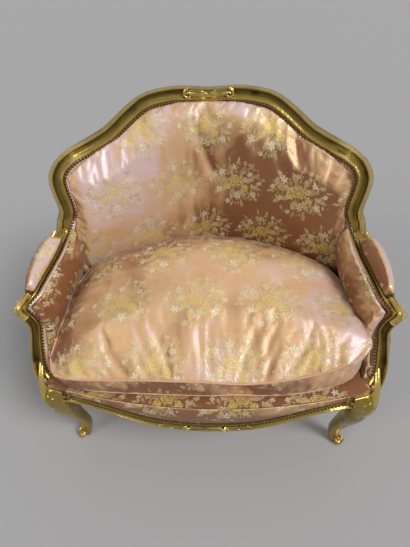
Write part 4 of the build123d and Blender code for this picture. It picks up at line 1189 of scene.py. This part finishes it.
def crest_at(distance, inwards, out):
    """A point on the crest, measured from its middle, from its outer edge and from its face."""
    row = rows_at([distance], rim_travel, rim_rows)[0]
    return row[0:3] + row[3:6] * inwards + row[6:9] * out


def apron_at(distance, up, out):
    """A point on the apron: across from the middle, up from its lower edge, out of its face."""
    row = rows_at([distance], front[:, 0], front)[0]
    facing = unit(np.array([distance / front_bow, -1, 0]))
    return row[:3] + np.array([0, 0, up]) + facing * out


def curl(start_angle, turns, start_radius, shrink):
    """Steps along a shrinking spiral: the share of it done, how far across and how far up."""
    for step in range(17):
        share = step / 16
        angle = start_angle - 2 * math.pi * turns * share
        radius = start_radius * (1 - shrink * share)
        yield share, radius * math.cos(angle), radius * math.sin(angle)


def scroll(name, place_at, side, middle, up, size, radius, flip_up):
    """A C-scroll's end, curling inwards on a surface."""
    steps = curl(math.pi / 2, side * 1.2, size, 0.78)
    path = [place_at(side * middle + x, up + flip_up * z, 0.0010 + 0.002 * share) for share, x, z in steps]
    return rod(name, path, radius, taper=(1.1, 0.75), least=17)


def carved_ground(name, place_at, half_length):
    """The block left in the cove, that the middle group is cut from."""
    path = [place_at(half_length * (2 * step / 8 - 1), 0.0185, -0.0115) for step in range(9)]
    return rod(name, path, 0.0125)


def leaves_between(place_at, side, looks, height, places):
    """Leaves on a surface, each from its root to its tip and with its width."""
    for start, end, width in places:
        root = place_at(side * start[0], start[1], -leaf_sink)
        tip = place_at(side * end[0], end[1], -leaf_sink)
        leaf_places.append(laid(root, tip - root, looks, float(np.linalg.norm(tip - root)), width, height))


# %% Carve the crest, the apron, the knees and the arms
leaf_sink = 0.0035
crest_looks = crest_at(0, 0.02, 1) - crest_at(0, 0.02, 0)
crest_leaves = [
    ((0.01, 0.012), (0.054, 0.009), 0.75), ((0.011, 0.02), (0.056, 0.02), 0.8),
    ((0.01, 0.028), (0.052, 0.031), 0.7),
]
apron_leaves = [
    ((0.008, 0.01), (0.044, 0.007), 0.75), ((0.009, 0.019), (0.046, 0.02), 0.8),
    ((0.008, 0.028), (0.042, 0.031), 0.7), ((0.062, 0.02), (0.132, 0.022), 0.55),
    ((0.06, 0.012), (0.1, 0.006), 0.5), ((0.06, 0.028), (0.098, 0.034), 0.5),
]
knee_leaves = [(0.0, 0.338, 0.115), (0.55, 0.330, 0.085), (-0.55, 0.330, 0.085)]
knee_spine = [
    (0.477, -0.22, 0.412), (0.475, -0.248, 0.392), (0.474, -0.27, 0.374), (0.4725, -0.287, 0.351),
    (0.47, -0.301, 0.326), (0.466, -0.307, 0.296), (0.458, -0.302, 0.262),
]
elbow_rows = [arm_row(step) for step in np.linspace(4.3, 8.0, 17)]
carvings = [carved_ground("crest_ground", crest_at, 0.052), carved_ground("apron_ground", apron_at, 0.046)]
leaf_places = []
for side in (-1, 1):
    carvings.append(scroll("crest_scroll", crest_at, side, 0.059, 0.0185, 0.0145, 0.0042, -1))
    leaves_between(crest_at, side, crest_looks, 0.55, crest_leaves)
    carvings.append(scroll("apron_scroll", apron_at, side, 0.052, 0.018, 0.0135, 0.0040, 1))
    leaves_between(apron_at, side, (0, -1, 0), 0.50, apron_leaves)
    outward = mirrored(knee_way, side)
    for turn, drop, length in knee_leaves:
        way = np.array(Matrix.Rotation(turn, 3, "Z") @ Vector(outward))
        root = mirrored((0.440, -0.290, drop), side) + way * 0.0275
        leaf_places.append(laid(root, (way[0] * -0.10, way[1] * -0.10, -1), way, length, 0.65, 0.36))
    spine = [mirrored(place, side) for place in knee_spine]
    carvings.append(rod("knee_spine", spine, 0.0180, taper=(0.45, 0.95), least=17))
    elbow = [mirrored(rim_point(row, 0.0100 - row[9], -0.0070), side) for row in elbow_rows]
    carvings.append(rod("elbow_volute", elbow, 0.0130, taper=(0.5, 0.8), least=17))
    root = mirrored(rim_point(side_rows[0], -0.026, 0.001), side)
    leaf_places.append(laid(root, (-side * 0.25, 1.0, 0.12), (side * 0.15, 0, 1), 0.055, 0.9, 0.45))

# %% The shells in the middle, and the scrolled toes
shell_leaf = 0.017
for turn in range(7):
    angle = math.radians(15 + 25 * turn)
    for place_at, middle, flip_up in ((crest_at, 0.021, -1), (apron_at, 0.018, 1)):
        root = place_at(0, middle, -0.001)
        tip = place_at(shell_leaf * math.cos(angle), middle + flip_up * shell_leaf * math.sin(angle), -0.001)
        looks = place_at(0, middle, 1) - place_at(0, middle, 0)
        leaf_places.append(laid(root, tip - root, looks, shell_leaf, 0.62, 0.6))
carvings.append(join_copies(new_leaf(), leaf_places, "carved_leaves"))

toe_half = 0.0125
for side in (-1, 1):
    toe = np.array([side * 0.4430, -0.2845, 0.0135])
    way = np.array([side * 0.7071, -0.7071, 0.0])
    beside = np.array([0.7071, side * 0.7071, 0.0])
    for face in (-1, 1):
        middle = toe + beside * face * toe_half
        path = [middle + way * ahead + (0, 0, rise) for _, ahead, rise in curl(2.2, 1.3, toe_half, 0.8)]
        carvings.append(rod("toe_scroll", path, 0.0022, taper=(1.1, 0.6), least=17))
carving = joined(carvings, "carving")
carving.data.materials.clear()
carving.data.materials.append(gilding)
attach(carving, "chair")
print("carved pieces:", len(leaf_places), "leaves, faces:", len(carving.data.polygons))

# %% [markdown]
# ## Camera, light and floor
#
# The camera stands where the photographer stood: close, high and looking down. Its place was
# worked out from the chair's own edges in the photograph. The light is a plain soft studio.

# %% Camera
camera_place = Vector((0.047, -0.832, 1.373))
camera_pitch = math.radians(45.44)
camera_yaw = math.radians(-3.86)
camera_roll = math.radians(-2.29)
focal_pixels = 391.6
picture_height = 547
film_size = 36
level = math.cos(camera_pitch)
forward = Vector((math.sin(camera_yaw) * level, math.cos(camera_yaw) * level, -math.sin(camera_pitch)))
level_right = Vector((math.cos(camera_yaw), -math.sin(camera_yaw), 0))
level_up = level_right.cross(forward)
right = level_right * math.cos(camera_roll) + level_up * math.sin(camera_roll)
upward = level_up * math.cos(camera_roll) - level_right * math.sin(camera_roll)
bpy.ops.object.camera_add(location=camera_place)
camera = bpy.context.object
turn = Matrix((right, upward, -forward)).transposed().to_4x4()
camera.matrix_world = Matrix.Translation(camera_place) @ turn
camera.data.sensor_width = film_size
camera.data.lens = film_size * focal_pixels / picture_height
bpy.context.scene.camera = camera

# %% Light and floor
def soft_lamp(name, place, spread, power, color):
    """A soft sun that shines from its place towards the chair."""
    bpy.ops.object.light_add(type="SUN", location=place)
    lamp = bpy.context.object
    lamp.name = name
    lamp.data.angle = math.radians(spread)
    lamp.data.energy = power
    lamp.data.color = color
    lamp.rotation_euler = (Vector((0, 0, 0.5)) - Vector(place)).to_track_quat("-Z", "Y").to_euler()
    return lamp


soft_lamp("window", (2.2, -1.3, 3.2), 24, 2.3, (1.0, 0.97, 0.98))
soft_lamp("room", (-2.6, -1.6, 2.4), 24, 0.7, (1.0, 0.92, 0.80))
world = bpy.data.worlds.new("studio")
world.use_nodes = True
sky = world.node_tree
sky.nodes["Background"].inputs["Color"].default_value = (0.94, 0.96, 1.0, 1)
height = sky.nodes.new("ShaderNodeSeparateXYZ")
sky.links.new(sky.nodes.new("ShaderNodeTexCoord").outputs["Generated"], height.inputs[0])
brightness = calc(sky, "MULTIPLY_ADD", ramp(sky, height.outputs[2], 0.0, 0.9), 0.26, 0.30)
sky.links.new(brightness, sky.nodes["Background"].inputs["Strength"])
bpy.context.scene.world = world
bpy.context.scene.view_settings.view_transform = "Standard"
bpy.ops.mesh.primitive_plane_add(size=80, location=(0, 0, 0))
floor = bpy.context.object
floor.name = "floor"
floor.data.materials.append(new_finish("floor_paint", (0.34, 0.34, 0.34), 0.9)[0])
